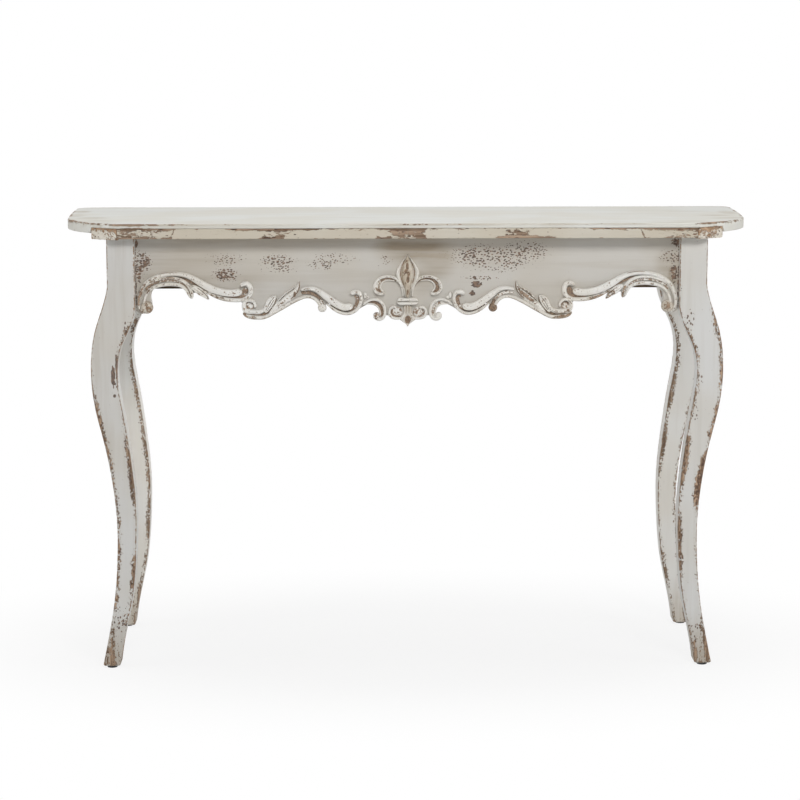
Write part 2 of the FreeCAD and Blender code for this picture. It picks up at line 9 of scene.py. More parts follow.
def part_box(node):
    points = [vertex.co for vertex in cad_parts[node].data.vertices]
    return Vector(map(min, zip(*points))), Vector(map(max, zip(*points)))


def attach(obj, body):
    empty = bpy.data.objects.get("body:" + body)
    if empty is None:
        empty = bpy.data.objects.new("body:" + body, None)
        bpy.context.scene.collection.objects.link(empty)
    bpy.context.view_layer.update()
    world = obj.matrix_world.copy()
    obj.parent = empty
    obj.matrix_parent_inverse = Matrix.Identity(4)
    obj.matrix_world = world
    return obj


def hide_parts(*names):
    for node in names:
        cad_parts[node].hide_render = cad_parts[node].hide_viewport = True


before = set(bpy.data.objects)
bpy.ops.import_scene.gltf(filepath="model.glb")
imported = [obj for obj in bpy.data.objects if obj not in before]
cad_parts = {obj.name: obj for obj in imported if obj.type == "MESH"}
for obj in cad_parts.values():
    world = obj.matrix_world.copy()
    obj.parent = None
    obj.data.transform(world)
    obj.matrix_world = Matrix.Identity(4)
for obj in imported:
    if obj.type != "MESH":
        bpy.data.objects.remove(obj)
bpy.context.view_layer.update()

# Pier table: painted, rubbed-through wood with a carved apron. Lengths here are in millimetres,
# turned into metres when a mesh is made. The front faces -Y. MM is the millimetres in a metre.
MM = 1000


def corners(node):
    """Lowest and highest corner of a CAD node, in millimetres to a hundredth."""
    return [[round(value * MM, 2) for value in corner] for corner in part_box(node)]


# Places of the solids, from the CAD parts in model.glb
(_, FRONT, UNDER), (TOP_HALF, BACK, TOP_Z) = corners("top_board")
(half_gap, strip_front, STRIP_LOW), (middle_end, strip_back, LIP_Z) = corners("edge_strip_middle_right")
end_start = corners("edge_strip_end_right")[0][0]
_, block_front, BLOCK_LOW = corners("cant_block_right")[0]
(LEG_X, LEG_FRONT, FOOT_Z), (_, front_leg_rear, _) = corners("leg_front_right")
(_, back_leg_front, _), (_, LEG_BACK, _) = corners("leg_back_right")
_, APRON_FRONT, apron_low = corners("front_apron")[0]
(SIDE_IN, _, SIDE_LOW), (SIDE_OUT, _, _) = corners("side_apron_right")
JOINT_GAP = 2 * half_gap
STRIP_JOINT = (middle_end + end_start) / 2
STRIP_SLANT = middle_end - end_start + JOINT_GAP
STRIP_SETBACK, BLOCK_SETBACK, RABBET = strip_front - FRONT, block_front - FRONT, strip_back - FRONT
FRONT_LEG_DEPTH, BACK_LEG_DEPTH = front_leg_rear - LEG_FRONT, LEG_BACK - back_leg_front
TIP_BELOW_BOARD = 3.0
APRON_TIP = apron_low - TIP_BELOW_BOARD

# Sizes of the solids that their boxes don't give
CANT_X, CANT_RUN, CANT_DEPTH = 506.0, 47.0, 30.0
SWEEP_DEPTH, SWEEP_BULGE, FLARE, CORNER_R = 130.0, 10.0, 9.0, 28.0
LEG_BLOCK, BACK_FOOT_DEPTH, TAPER_FROM, TAPER_TO = 49.0, 40.0, 564.0, 254.0
SIDE_ARCH = 22.0

# Sizes of the finer meshes: rounding of arrises, depth of the nicks in them, how far the feet are tucked
# in and the under edge of the top is set in, and the angle from which an edge shows sharp
TOP_ROUND, LIP_ROUND, STRIP_ROUND, BLOCK_ROUND, SIDE_ROUND, LEG_ROUND = 2.4, 1.4, 1.1, 1.2, 2.0, 2.6
TOP_NICK, BAR_NICK, LEG_NICK = 1.3, 0.8, 1.3
FOOT_TUCK, UNDER_INSET = 4.0, 4.0
SHARP_ANGLE = math.radians(42)


# Curves and meshes

def hermite(u, h, p0, m0, p1, m1):
    """Cubic from p0 to p1 with slopes m0 and m1, at the share u of a step h."""
    return ((1 + 2 * u) * (1 - u) ** 2 * p0 + u * (1 - u) ** 2 * h * m0
            + u * u * (3 - 2 * u) * p1 + u * u * (u - 1) * h * m1)


def spline(points, step):
    """Smooth curve through points, its first two columns being places; other columns ride along."""
    p = np.array(points, float)
    n = len(p)
    t = np.concatenate([[0], np.cumsum(np.linalg.norm(np.diff(p[:, :2], axis=0), axis=1))])

    def end_slope(times, values):
        k = min(4, n)
        return np.linalg.solve(np.vander(times[:k] - times[0], k, increasing=True), values[:k])[1]

    a = np.eye(n)
    b = np.zeros_like(p)
    b[0], b[-1] = end_slope(t, p), end_slope(t[::-1], p[::-1])
    for i in range(1, n - 1):
        h0, h1 = t[i] - t[i - 1], t[i + 1] - t[i]
        a[i, i - 1:i + 2] = h1, 2 * (h0 + h1), h0
        b[i] = 3 * (h1 * (p[i] - p[i - 1]) / h0 + h0 * (p[i + 1] - p[i]) / h1)
    m = np.linalg.solve(a, b)
    s = np.linspace(0, t[-1], max(4, int(t[-1] / step) + 1))
    k = np.clip(np.searchsorted(t, s, side="right") - 1, 0, n - 2)
    h = (t[k + 1] - t[k])[:, None]
    u = (s - t[k])[:, None] / h
    return hermite(u, h, p[k], m[k], p[k + 1], m[k + 1])


def arc(a, mid, b, count):
    """Points of the circular arc from a through mid to b, less than half a circle."""
    p, m, q = complex(*a), complex(*mid), complex(*b)
    w = (q - p) / (m - p)
    centre = p + (m - p) * (w - abs(w) ** 2) / (2j * w.imag)
    turn = cmath.phase((q - centre) / (p - centre))
    points = [centre + (p - centre) * cmath.exp(1j * turn * k / count) for k in range(count + 1)]
    return [(point.real, point.imag) for point in points]


def smooth(x, low, high):
    """Soft step from 0 at low to 1 at high."""
    u = np.clip((x - low) / (high - low), 0, 1)
    return u * u * (3 - 2 * u)


def rough(x, y, z, size, seed):
    """Seeded noise from -1 to 1 at a place, with lumps of about the given size."""
    return noise.noise(Vector((x / size + seed * 7.3, y / size - seed * 3.1, z / size + seed)))


def table(points, at):
    """Value at a place or places, from (place, value) pairs in rising order."""
    return np.interp(at, *zip(*points))


def add_object(name, data):
    obj = bpy.data.objects.new(name, data)
    bpy.context.scene.collection.objects.link(obj)
    return obj


class Shell:
    """Mesh in the making: places in millimetres, with values for the paint: 'edge' (rubbing), one for brown
    stain, grime and painted shade, and 'wash' (tan tint)."""

    def __init__(self):
        self.co, self.faces = [], []
        self.values = {"edge": [], "dirt_and_shade": [], "wash": []}

    def loft(self, rings, edge, dirt_and_shade, wash=0.0):
        """Closed rings joined one to the next, with both ends closed."""
        rings = np.asarray(rings, float)
        n, m = rings.shape[:2]
        base = len(self.co)
        self.co += rings.reshape(-1, 3).tolist()
        for key, value in (("edge", edge), ("dirt_and_shade", dirt_and_shade), ("wash", wash)):
            self.values[key] += np.broadcast_to(value, (n, m)).ravel().tolist()
        for i in range(n - 1):
            this, after = base + i * m, base + (i + 1) * m
            for j in range(m):
                k = (j + 1) % m
                self.faces.append((this + j, this + k, after + k, after + j))
        self.faces.append(tuple(base + j for j in reversed(range(m))))
        self.faces.append(tuple(base + (n - 1) * m + j for j in range(m)))
        return self

    def mirrored(self):
        other = Shell()
        other.co = [(-x, y, z) for x, y, z in self.co]
        other.faces = [f[::-1] for f in self.faces]
        other.values = self.values
        return other

    def piece(self, node, slot, material):
        """The finished piece, shown in place of a CAD node."""
        name = node + "_look"
        mesh = bpy.data.meshes.new(name)
        mesh.from_pydata([(x / MM, y / MM, z / MM) for x, y, z in self.co], [], self.faces)
        for key, values in self.values.items():
            mesh.attributes.new(key, "FLOAT", "POINT").data.foreach_set("value", values)
        mesh.shade_smooth()
        mesh.set_sharp_from_angle(angle=SHARP_ANGLE)
        mesh.materials.append(material)
        obj = add_object(name, mesh)
        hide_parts(node)
        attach(obj, "root")


def both(make, node, slot, material):
    """The right-hand piece and the left-hand one, each in place of its node. make(1) and make(-1) give
    them as right-hand shapes, with their own rubbing."""
    make(1).piece(node + "_right", slot, material)
    make(-1).mirrored().piece(node + "_left", slot, material)


# Paint

class Nodes:
    """Short way to write a shader."""

    def __init__(self, owner):
        owner.use_nodes = True
        self.owner, self.tree = owner, owner.node_tree
        self.shader = self.tree.nodes.get("Principled BSDF")
        self.place = self.new("ShaderNodeTexCoord").outputs["Object"]

    def new(self, kind, inputs=None, **settings):
        node = self.tree.nodes.new(kind)
        for key, value in settings.items():
            setattr(node, key, value)
        for key, value in (inputs or {}).items():
            self.put(value, node.inputs[key])
        return node

    def put(self, value, socket):
        if isinstance(value, bpy.types.NodeSocket):
            self.tree.links.new(value, socket)
        else:
            socket.default_value = value

    def math(self, operation, a, b=0.0):
        return self.new("ShaderNodeMath", {0: a, 1: b}, operation=operation).outputs[0]

    def vector(self, operation, a, b):
        return self.new("ShaderNodeVectorMath", {0: a, 1: b}, operation=operation).outputs[0]

    def length(self, a):
        return self.new("ShaderNodeVectorMath", {0: a}, operation="LENGTH").outputs["Value"]

    def add(self, *terms):
        """Sum of (value, factor) terms."""
        total = None
        for value, factor in terms:
            part = self.math("MULTIPLY", value, factor)
            total = part if total is None else self.math("ADD", total, part)
        return total

    def ramp(self, value, low, high, to_low=0.0, to_high=1.0):
        inputs = {"Value": value, "From Min": low, "From Max": high, "To Min": to_low, "To Max": to_high}
        return self.new("ShaderNodeMapRange", inputs, interpolation_type="SMOOTHSTEP").outputs["Result"]

    def mix(self, factor, a, b):
        node = self.new("ShaderNodeMix", data_type="RGBA")
        for value, index in ((factor, 0), (a, 6), (b, 7)):
            self.put(value, node.inputs[index])
        return node.outputs[2]

    def stretched(self, stretch):
        return self.new("ShaderNodeMapping", {"Vector": self.place, "Scale": stretch}).outputs[0]

    def noise(self, scale, detail=3.0, stretch=(1, 1, 1), rough=0.55):
        inputs = {"Vector": self.stretched(stretch), "Scale": scale, "Detail": detail, "Roughness": rough}
        return self.new("ShaderNodeTexNoise", inputs).outputs["Fac"]

    def cells(self, scale, stretch):
        """Distance to the nearest of scattered points."""
        inputs = {"Vector": self.stretched(stretch), "Scale": scale}
        return self.new("ShaderNodeTexVoronoi", inputs).outputs["Distance"]

    def attribute(self, name):
        return self.new("ShaderNodeAttribute", attribute_name=name).outputs["Fac"]

    def spots(self, patches):
        """Largest strength at a place of soft patches (x, y, z, reach x, reach y, reach z, strength)."""
        total = None
        for x, y, z, rx, ry, rz, strength in patches:
            away = self.vector("SUBTRACT", self.place, (x / MM, y / MM, z / MM))
            away = self.vector("MULTIPLY", away, (MM / rx, MM / ry, MM / rz))
            here = self.ramp(self.length(away), 1.0, 0.3, 0.0, strength)
            total = here if total is None else self.math("MAXIMUM", total, here)
        return total

    def bump(self, height, strength, distance):
        inputs = {"Height": height, "Strength": strength, "Distance": distance}
        self.put(self.new("ShaderNodeBump", inputs).outputs[0], self.shader.inputs["Normal"])

    def blend(self, factor, a, b):
        """Mixture of two shaders."""
        return self.new("ShaderNodeMixShader", {0: factor, 1: a, 2: b}).outputs[0]

    def background_ray(self):
        """1 on rays that show the background: from the camera, or by gloss or glass."""
        path = self.new("ShaderNodeLightPath").outputs
        seen = self.math("MAXIMUM", path["Is Camera Ray"], path["Is Glossy Ray"])
        return self.math("MAXIMUM", seen, path["Is Transmission Ray"])


def rgb(r, g, b):
    """Colour written as 8-bit sRGB."""
    def linear(v):
        v /= 255
        return v / 12.92 if v <= 0.04045 else ((v + 0.055) / 1.055) ** 2.4
    return (linear(r), linear(g), linear(b), 1.0)


def shade(colour, r, g, b):
    return (colour[0] * r, colour[1] * g, colour[2] * b, 1.0)


def paint(name, colour, grain, rub=0.5, rub_all=0.0, flecks=(), stains_and_shade=(), chip=60.0, fleck=(1, 1, 1),
          dot=130.0, speck=1.0, even=0.58, bare=((108, 88, 70), (172, 149, 127))):
    """Old paint over brown wood: rubbed through where 'edge' is high, flecked in patches, and brown where
    the dirt value is high: stains, grime and painted shade.

    grain stretches the brush marks, fleck the chips; chip and dot set how fine the chips and the specks are,
    speck how many specks lie round the chips. The tinted patches, real stains and painted shade alike, are
    only tinted, in streaks where even is low. bare is the wood's dark and pale colour."""
    n = Nodes(bpy.data.materials.new(name))
    edge, dirt_and_shade, tint = n.attribute("edge"), n.attribute("dirt_and_shade"), n.attribute("wash")
    tone = n.noise(6.0, 2.0)
    streak = n.noise(70.0, 4.0, grain, 0.62)
    cloud = n.noise(chip, 5.0, fleck, 0.64)
    blot = n.noise(chip * 2.8, 4.0, fleck, 0.62)
    fine = n.noise(430.0, 3.0, fleck, 0.6)
    dots = n.add((n.cells(dot, fleck), -0.68), (1.0, 0.766))

    # Where the paint is through, the dark rim of that, and where it is only thin
    amount = n.math("ADD", n.math("MULTIPLY", edge, rub), rub_all)
    streaked = n.math("MULTIPLY", tint, n.add((streak, 1.1), (1.0, -0.56)))
    field = n.add((cloud, 0.36), (blot, 0.36), (fine, 0.28), (amount, 0.25), (streaked, 1.0))
    worn = n.ramp(field, 0.668, 0.680)
    rim = n.math("MULTIPLY", n.ramp(field, 0.652, 0.666), n.ramp(field, 0.70, 0.680))
    thin = n.ramp(field, 0.59, 0.675)
    # Specks, the lifted paint round them painted paler as a highlight, and stained hollows with painted
    # shade
    scatter = n.add((amount, 0.20 * speck), (tint, -0.10 * speck))
    if flecks:
        crowd = n.math("MULTIPLY", n.spots(flecks), n.ramp(cloud, 0.36, 0.62, 0.24, 0.36))
        scatter = n.math("MAXIMUM", scatter, crowd)
    dotted = n.add((dots, 1.0), (fine, 0.34), (scatter, 1.0), (1.0, -0.11))
    specks = n.ramp(dotted, 0.805, 0.83)
    lifted_highlight = n.math("MULTIPLY", n.ramp(dotted, 0.745, 0.80), n.ramp(scatter, 0.05, 0.16))
    # Brown where the dirt value is high: stained hollows, grime, and painted shade at the foot of carved
    # strands and knobs
    dirt_and_shade_field = n.add((dirt_and_shade, 1.0), (cloud, 0.5), (blot, 0.6), (fine, 0.4))
    hollow = n.ramp(dirt_and_shade_field, 1.29, 1.37)

    warm, cool = shade(colour, 0.965, 0.945, 0.91), shade(colour, 1.01, 1.015, 1.02)
    # The tinted patches are real stains, and painted shade and shadow on the apron and the left front leg;
    # the wash values add to them
    wash = n.math("MAXIMUM", n.spots(stains_and_shade), tint) if stains_and_shade else tint
    wood = n.mix(n.ramp(n.noise(160.0, 4.0, grain), 0.36, 0.64), rgb(*bare[0]), rgb(*bare[1]))
    dark = n.mix(n.ramp(blot, 0.42, 0.64), rgb(68, 48, 36), rgb(124, 94, 72))
    dirt_and_shade_brown = n.mix(n.ramp(fine, 0.38, 0.62), rgb(84, 63, 46), rgb(150, 123, 97))
    marks = n.math("MAXIMUM", n.math("MULTIPLY", rim, 0.7), specks)
    body = n.mix(n.ramp(tone, 0.38, 0.62), warm, cool)
    # Layers over the paint's own colour: where, how strong, and their colour
    for where, strength, over in (
            (n.ramp(streak, 0.45, 0.70), 0.38, shade(colour, 0.84, 0.81, 0.76)),
            # Tan wash: stains, and painted shade and shadow where the tinted patches ask for it
            (wash, n.ramp(streak, 0.36, 0.62, even, 1.1), shade(colour, 0.60, 0.52, 0.42)),
            (thin, 0.4, shade(colour, 0.78, 0.71, 0.61)),
            # Paler paint round the specks: a painted highlight on the lifted paint's edges
            (lifted_highlight, 0.6, shade(colour, 1.14, 1.13, 1.10)),
            (worn, 1.0, wood),
            (marks, 0.92, dark),
            # Brown of stains and grime, and of painted shade at the foot of the carving
            (hollow, 0.94, dirt_and_shade_brown)):
        body = n.mix(n.math("MULTIPLY", where, strength), body, over)
    n.put(body, n.shader.inputs["Base Color"])
    n.put(n.ramp(worn, 0, 1, 0.58, 0.75), n.shader.inputs["Roughness"])
    height = n.add((streak, 0.3), (fine, 0.2), (cloud, 0.3), (worn, -0.75), (specks, -0.5), (lifted_highlight, 0.25))
    n.bump(height, 0.6, 0.0007)
    return n.owner


def raw_wood(name, dark, pale, grain):
    """Unpainted wood with its pores."""
    n = Nodes(bpy.data.materials.new(name))
    rings = n.noise(26.0, 5.0, grain, 0.6)
    pores = n.noise(240.0, 3.0, grain, 0.6)
    body = n.mix(n.ramp(rings, 0.32, 0.68), rgb(*dark), rgb(*pale))
    body = n.mix(n.ramp(pores, 0.55, 0.75, 0.0, 0.5), body, shade(rgb(*dark), 0.5, 0.5, 0.5))
    n.put(body, n.shader.inputs["Base Color"])
    n.put(n.ramp(rings, 0.3, 0.7, 0.82, 0.7), n.shader.inputs["Roughness"])
    n.bump(pores, 0.5, 0.0006)
    return n.owner


def hard(name, dark, pale, roughness, metallic):
    """Moulded plastic or steel, scuffed."""
    n = Nodes(bpy.data.materials.new(name))
    scuff = n.noise(900.0, 4.0)
    n.put(n.mix(n.ramp(scuff, 0.4, 0.65), rgb(*dark), rgb(*pale)), n.shader.inputs["Base Color"])
    n.put(n.ramp(scuff, 0.3, 0.7, roughness - 0.1, roughness + 0.1), n.shader.inputs["Roughness"])
    n.shader.inputs["Metallic"].default_value = metallic
    n.bump(scuff, 0.2, 0.0002)
    return n.owner


def on_front(patches, y, reach):
    """Patches (x, z, reach across, reach up, strength) of a front face, as the paint takes them."""
    return [(x, y, z, rx, reach, rz, strength) for x, z, rx, rz, strength in patches]


ALONG_X, ALONG_Y, ALONG_Z = (0.05, 1, 1), (1, 0.05, 1), (1, 1, 0.05)
# Flecked and tinted patches of the apron: place and reach across and up, and strength
FLECKS = [
    (-467, 730, 27, 28, 1.3), (-474, 712, 15, 30, 1.15), (-318, 708, 34, 18, 1.4),
    (-316, 735, 52, 18, 0.72), (-228, 731, 46, 18, 1.05), (-222, 717, 48, 10, 0.75),
    (-150, 726, 36, 15, 0.85), (-128, 735, 58, 15, 0.72), (-37, 733, 14, 13, 0.85), (-56, 722, 9, 6, 0.7),
    (132, 740, 88, 30, 0.95), (158, 730, 84, 30, 0.88), (206, 748, 66, 28, 0.9), (122, 690, 15, 9, 2.0),
    (114, 674, 8, 7, 2.2), (128, 701, 48, 6, 1.0), (464, 736, 30, 22, 0.95), (470, 708, 12, 26, 1.5),
    (471, 764, 10, 13, 1.6), (-475, 763, 4, 9, 2.4), (-477, 700, 2.4, 110, 1.4), (477, 700, 2.4, 110, 1.4)
]
# Tinted patches of the apron. The long bands along the top at x -250 and 260 are painted shadow under the
# strips, with some dirt. The wide patches at x -395 and -330 are painted shade that makes the apron darker
# to the left. The rest are stains.
APRON_STAINS_AND_SHADE = [
    (8, 764, 92, 48, 1.0), (34, 746, 34, 36, 0.75), (30, 700, 30, 44, 0.35), (-250, 776, 330, 34, 0.46),
    (260, 780, 330, 24, 0.25), (-430, 720, 80, 90, 0.24), (462, 726, 36, 34, 0.5), (52, 734, 46, 44, 0.7),
    (468, 706, 16, 32, 0.9), (-395, 735, 130, 50, 0.42), (150, 740, 130, 30, 0.16),
    (-330, 700, 120, 38, 0.3)
]
# Speckled places on the front faces of the front legs
LEG_FLECKS = [
    (498, 622, 14, 40, 0.85), (517, 522, 9, 12, 1.0), (511, 498, 10, 18, 0.85), (508, 455, 12, 26, 0.7),
    (-517, 495, 4, 5, 2.2), (-512, 520, 9, 40, 0.7), (-494, 612, 9, 34, 0.9), (-519, 529, 5.5, 26, 3.0),
    (-512.5, 548, 3.5, 30, 2.6), (-515, 88, 34, 40, 0.75), (517, 60, 36, 40, 0.6)
]
# Tinted places of the top, seen from above: along its canted corners, ends and back edge
TOP_STAINS = [
    (-597, 86, 24, 44, 0.7), (-598, 0, 26, 44, 0.45), (-562, -56, 40, 34, 0.55), (-540, -172, 50, 18, 0.6),
    (-545, -130, 46, 44, 0.35), (-560, 184, 70, 10, 0.5), (-470, -184, 100, 8, 0.5),
    (560, 184, 46, 10, 0.7), (556, -24, 44, 15, 0.9), (592, 44, 24, 60, 0.6), (575, -84, 46, 30, 0.45),
    (462, -182, 44, 9, 0.7), (500, -150, 50, 34, 0.35), (520, 70, 60, 16, 0.35)
]
TOP_PAINT = paint("top_paint", rgb(218, 218, 213), ALONG_X, 1.1, -0.3, fleck=(0.5, 0.9, 1), speck=0.6,
                  even=0.08, stains_and_shade=[(x, y, TOP_Z, rx, ry, 12, s) for x, y, rx, ry, s in TOP_STAINS])
LEG_PAINT = paint("leg_paint", rgb(208, 207, 204), ALONG_Z, 1.0, -0.08, chip=105.0, fleck=(1, 1, 0.6),
                  dot=230.0, speck=1.6, bare=((96, 76, 58), (180, 153, 128)),
                  flecks=on_front(LEG_FLECKS, LEG_FRONT, 30),
                  # The tinted patch over the whole left front leg is a warm tint with painted shade that
                  # makes that leg darker
                  stains_and_shade=[(-515, LEG_FRONT, 700, 140, 80, 560, 0.26)])
# Paint of the back legs: the legs' paint made paler, painted light that stands in for the light falling on
# the back legs
LIT_BACK_LEG_PAINT = paint("back_leg_paint_lit", rgb(226, 224, 219), ALONG_Z, 1.0, -0.08, chip=100.0,
                       fleck=(1, 1, 0.7), dot=210.0, speck=1.2)
APRON_PAINT = paint("apron_paint", rgb(196, 192, 185), ALONG_X, 0.0, -0.3, chip=95.0, fleck=(0.6, 1, 1),
                    dot=340.0, flecks=on_front(FLECKS, APRON_FRONT, 60),
                    stains_and_shade=on_front(APRON_STAINS_AND_SHADE, APRON_FRONT, 60))
STRIP_PAINT = paint("strip_paint", rgb(201, 194, 180), ALONG_X, 1.0, -0.06, chip=85.0, fleck=(0.34, 1, 1),
                    dot=170.0)
BLOCK_PAINT = paint("block_paint", rgb(213, 207, 196), ALONG_X, 1.0, -0.06, chip=55.0, fleck=(0.8, 0.8, 1),
                    dot=150.0, bare=((140, 110, 82), (186, 157, 128)))
CARVED_PAINT = paint("carved_paint", rgb(229, 227, 222), (1, 1, 1), 0.5, -0.1, chip=85.0, speck=0.4)
SIDE_PAINT = paint("side_paint", rgb(200, 196, 189), ALONG_Y, 0.9, -0.15, fleck=(1, 0.6, 1))
BACK_WOOD = raw_wood("back_wood", (66, 52, 38), (104, 84, 62), ALONG_X)
BRACE_WOOD = raw_wood("brace_wood", (112, 88, 62), (150, 122, 90), ALONG_X)
GLIDE = hard("glide_plastic", (20, 20, 20), (38, 37, 36), 0.45, 0.0)
STEEL = hard("steel", (128, 128, 126), (168, 168, 166), 0.38, 1.0)


# Top

def top_outline():
    """Right half of the top seen from above, from the middle of the front to the middle of the back."""
    front = [(x, FRONT) for x in np.linspace(0, CANT_X, 130)]
    cant_end = (CANT_X + CANT_RUN, FRONT + CANT_DEPTH)
    cant = [(CANT_X + CANT_RUN * u, FRONT + CANT_DEPTH * u) for u in np.linspace(0, 1, 14)[1:]]
    sweep_end = (TOP_HALF - FLARE, FRONT + SWEEP_DEPTH)
    run, rise = sweep_end[0] - cant_end[0], sweep_end[1] - cant_end[1]
    chord = math.hypot(run, rise)
    mid = ((cant_end[0] + sweep_end[0]) / 2 + SWEEP_BULGE * rise / chord,
           (cant_end[1] + sweep_end[1]) / 2 - SWEEP_BULGE * run / chord)
    corner = (TOP_HALF, BACK - CORNER_R)
    length = corner[1] - sweep_end[1]
    r = (FLARE ** 2 + length ** 2) / (2 * FLARE)
    turn = math.asin(length / r) / 2
    flare_mid = (TOP_HALF - r * (1 - math.cos(turn)), corner[1] - r * math.sin(turn))
    cut = CORNER_R * (1 - math.sqrt(0.5))
    back = [(x, BACK) for x in np.linspace(TOP_HALF - CORNER_R, 0, 90)]
    points = front + cant + arc(cant_end, mid, sweep_end, 32)[1:] + arc(sweep_end, flare_mid, corner, 60)[1:]
    points += arc(corner, (TOP_HALF - cut, BACK - cut), (TOP_HALF - CORNER_R, BACK), 14)[1:] + back[1:]
    return points, len(front) + len(cant)


# Rubbing of the top's arris: distance from the middle and strength
TOP_RUB = [(0, 0.55), (60, 0.45), (300, 0.42), (400, 0.6), (500, 0.95), (560, 0.9), (614, 0.9)]


def top_board():
    right, lipped = top_outline()
    loop = right + [(-x, y) for x, y in right[-2:0:-1]]
    lip = np.array([i < lipped or i > len(loop) - lipped for i in range(len(loop))])
    p = np.array(loop)
    along = np.roll(p, -1, 0) - np.roll(p, 1, 0)
    along /= np.linalg.norm(along, axis=1)[:, None]
    inward = np.stack([-along[:, 1], along[:, 0]], 1)
    low = np.where(lip, LIP_Z, UNDER)
    rub = np.array([table(TOP_RUB, abs(x)) * (1 + 0.6 * rough(x, y, 0, 60, 5)) for x, y in loop])
    dents = np.array([max(0, rough(x, y, 0, 17, 3) + 0.5 * rough(x, y, 0, 5, 4) - 0.42) for x, y in loop])
    r = TOP_ROUND
    # Inset, drop below the top, rubbing, and tint along the lip
    upper = [(12, 0, 0.0, 0), (9, 0, 0.35, 0), (6, 0, 0.62, 0.1), (r, 0, 0.9, 0.45),
             (r * 0.45, r * 0.16, 1, 0.6), (r * 0.12, r * 0.5, 1, 0.6), (0, r, 0.9, 0.6)]
    rings = [(inset, np.full(len(p), TOP_Z - drop), edge, tint) for inset, drop, edge, tint in upper]
    # Share of the way down the outer face, rubbing, and tint
    face = [(0.5, 0.2, 0.12), (0.8, 0.3, 0.12)]
    tall = TOP_Z - r - low - LIP_ROUND
    rings += [(0, TOP_Z - r - tall * share, edge, tint) for share, edge, tint in face]
    rings += [(0, low + LIP_ROUND, 0.5, 0.26), (0.4, low + 0.4, 0.6, 0.5), (LIP_ROUND, low, 0.5, 0.5)]
    stack, edges, tints = [], [], []
    for inset, z, edge, tint in rings:
        xy = p + inward * (inset + dents * TOP_NICK * edge)[:, None]
        stack.append(np.column_stack([xy, z]))
        edges.append(edge * rub)
        tints.append(np.where(lip, tint, 0.0))
    xy = p + inward * np.where(lip, RABBET, UNDER_INSET)[:, None]
    stack += [np.column_stack([xy, low]), np.column_stack([xy, np.full(len(p), UNDER)])]
    edges += [rub * 0.2, rub * 0.0]
    tints += [tints[-1], rub * 0.0]
    shell = Shell().loft(np.array(stack), np.array(edges), 0.0, np.array(tints))
    shell.faces = [f[::-1] for f in shell.faces]
    return shell


# Bars: strips, blocks and side aprons

def bar(a, b, inward, thick, z_low, z_high, radius, step, seed, rub, ends=((0, 0), (0, 0))):
    """Board from plan point a to b along its outer face, with rubbed arrises.

    inward is the plan direction into its thickness. An end is (slant, mitre): how far it moves along
    over the height, and over the thickness. z_low may be a function of the way along, from 0 to 1. rub
    gives the strength of rubbing on the lower arris, the face and the upper arris at a plan point."""
    a, b, inward = np.array(a, float), np.array(b, float), np.array(inward, float)
    length = np.linalg.norm(b - a)
    along = (b - a) / length
    count = max(3, int(length / step))
    k, r = 0.29 * radius, radius
    # Depth into the thickness, shift in height, and how near to an arris, along the lower edge
    rim = [(0, r, 0.9), (k, k, 1.0), (r, 0, 0.9), (thick * 0.3, 0, 0.4), (thick * 0.7, 0, 0.4),
           (thick - r, 0, 0.9), (thick - k, k, 1.0), (thick, r, 0.9)]
    # The same round the section, with the share of the height after the depth
    section = [(depth, 0, shift, edge) for depth, shift, edge in rim]
    section += [(thick, 0.3, 0, 0.2), (thick, 0.7, 0, 0.2)]
    section += [(depth, 1, -shift, edge) for depth, shift, edge in reversed(rim)]
    section += [(0, 0.84, 0, 0.62), (0, 0.64, 0, 0.2), (0, 0.36, 0, 0.2), (0, 0.16, 0, 0.62)]
    rings, worn = [], []
    for i in range(count + 1):
        u = i / count
        low = z_low(u) if callable(z_low) else z_low
        tall = z_high - low
        # The last 5 mm at each end are rubbed
        tip = max(0.0, 1 - min(u, 1 - u) * length / 5)
        ring, row = [], []
        for depth, share, shift, edge in section:
            z = low + share * tall + shift
            start = ends[0][0] * (share - 0.5) + ends[0][1] * depth
            end = length + ends[1][0] * (share - 0.5) + ends[1][1] * depth
            at = a + along * (start + (end - start) * u) + inward * depth
            lower, face, upper = rub(*at)
            near = smooth(edge, 0.2, 0.95)
            strength = face * (1 - near) + near * (lower if share < 0.5 else upper)
            # Nicks in the arrises, where coarse and fine noise together are high
            if edge > 0.8:
                nick = rough(*at, z, 11, seed) + 0.5 * rough(*at, z, 3.5, seed + 1) - 0.4 + 0.25 * strength
                nick = BAR_NICK * max(0, nick)
                at = at + inward * nick * (1 if depth < thick / 2 else -1)
                z += nick * 0.6 * (1 if share < 0.5 else -1)
            ring.append((at[0], at[1], z))
            row.append(max(strength, tip * 0.8))
        rings.append(ring)
        worn.append(row)
    return Shell().loft(rings, np.array(worn), [[0.5 if q[3] > 0.8 else 0.0 for q in section]])


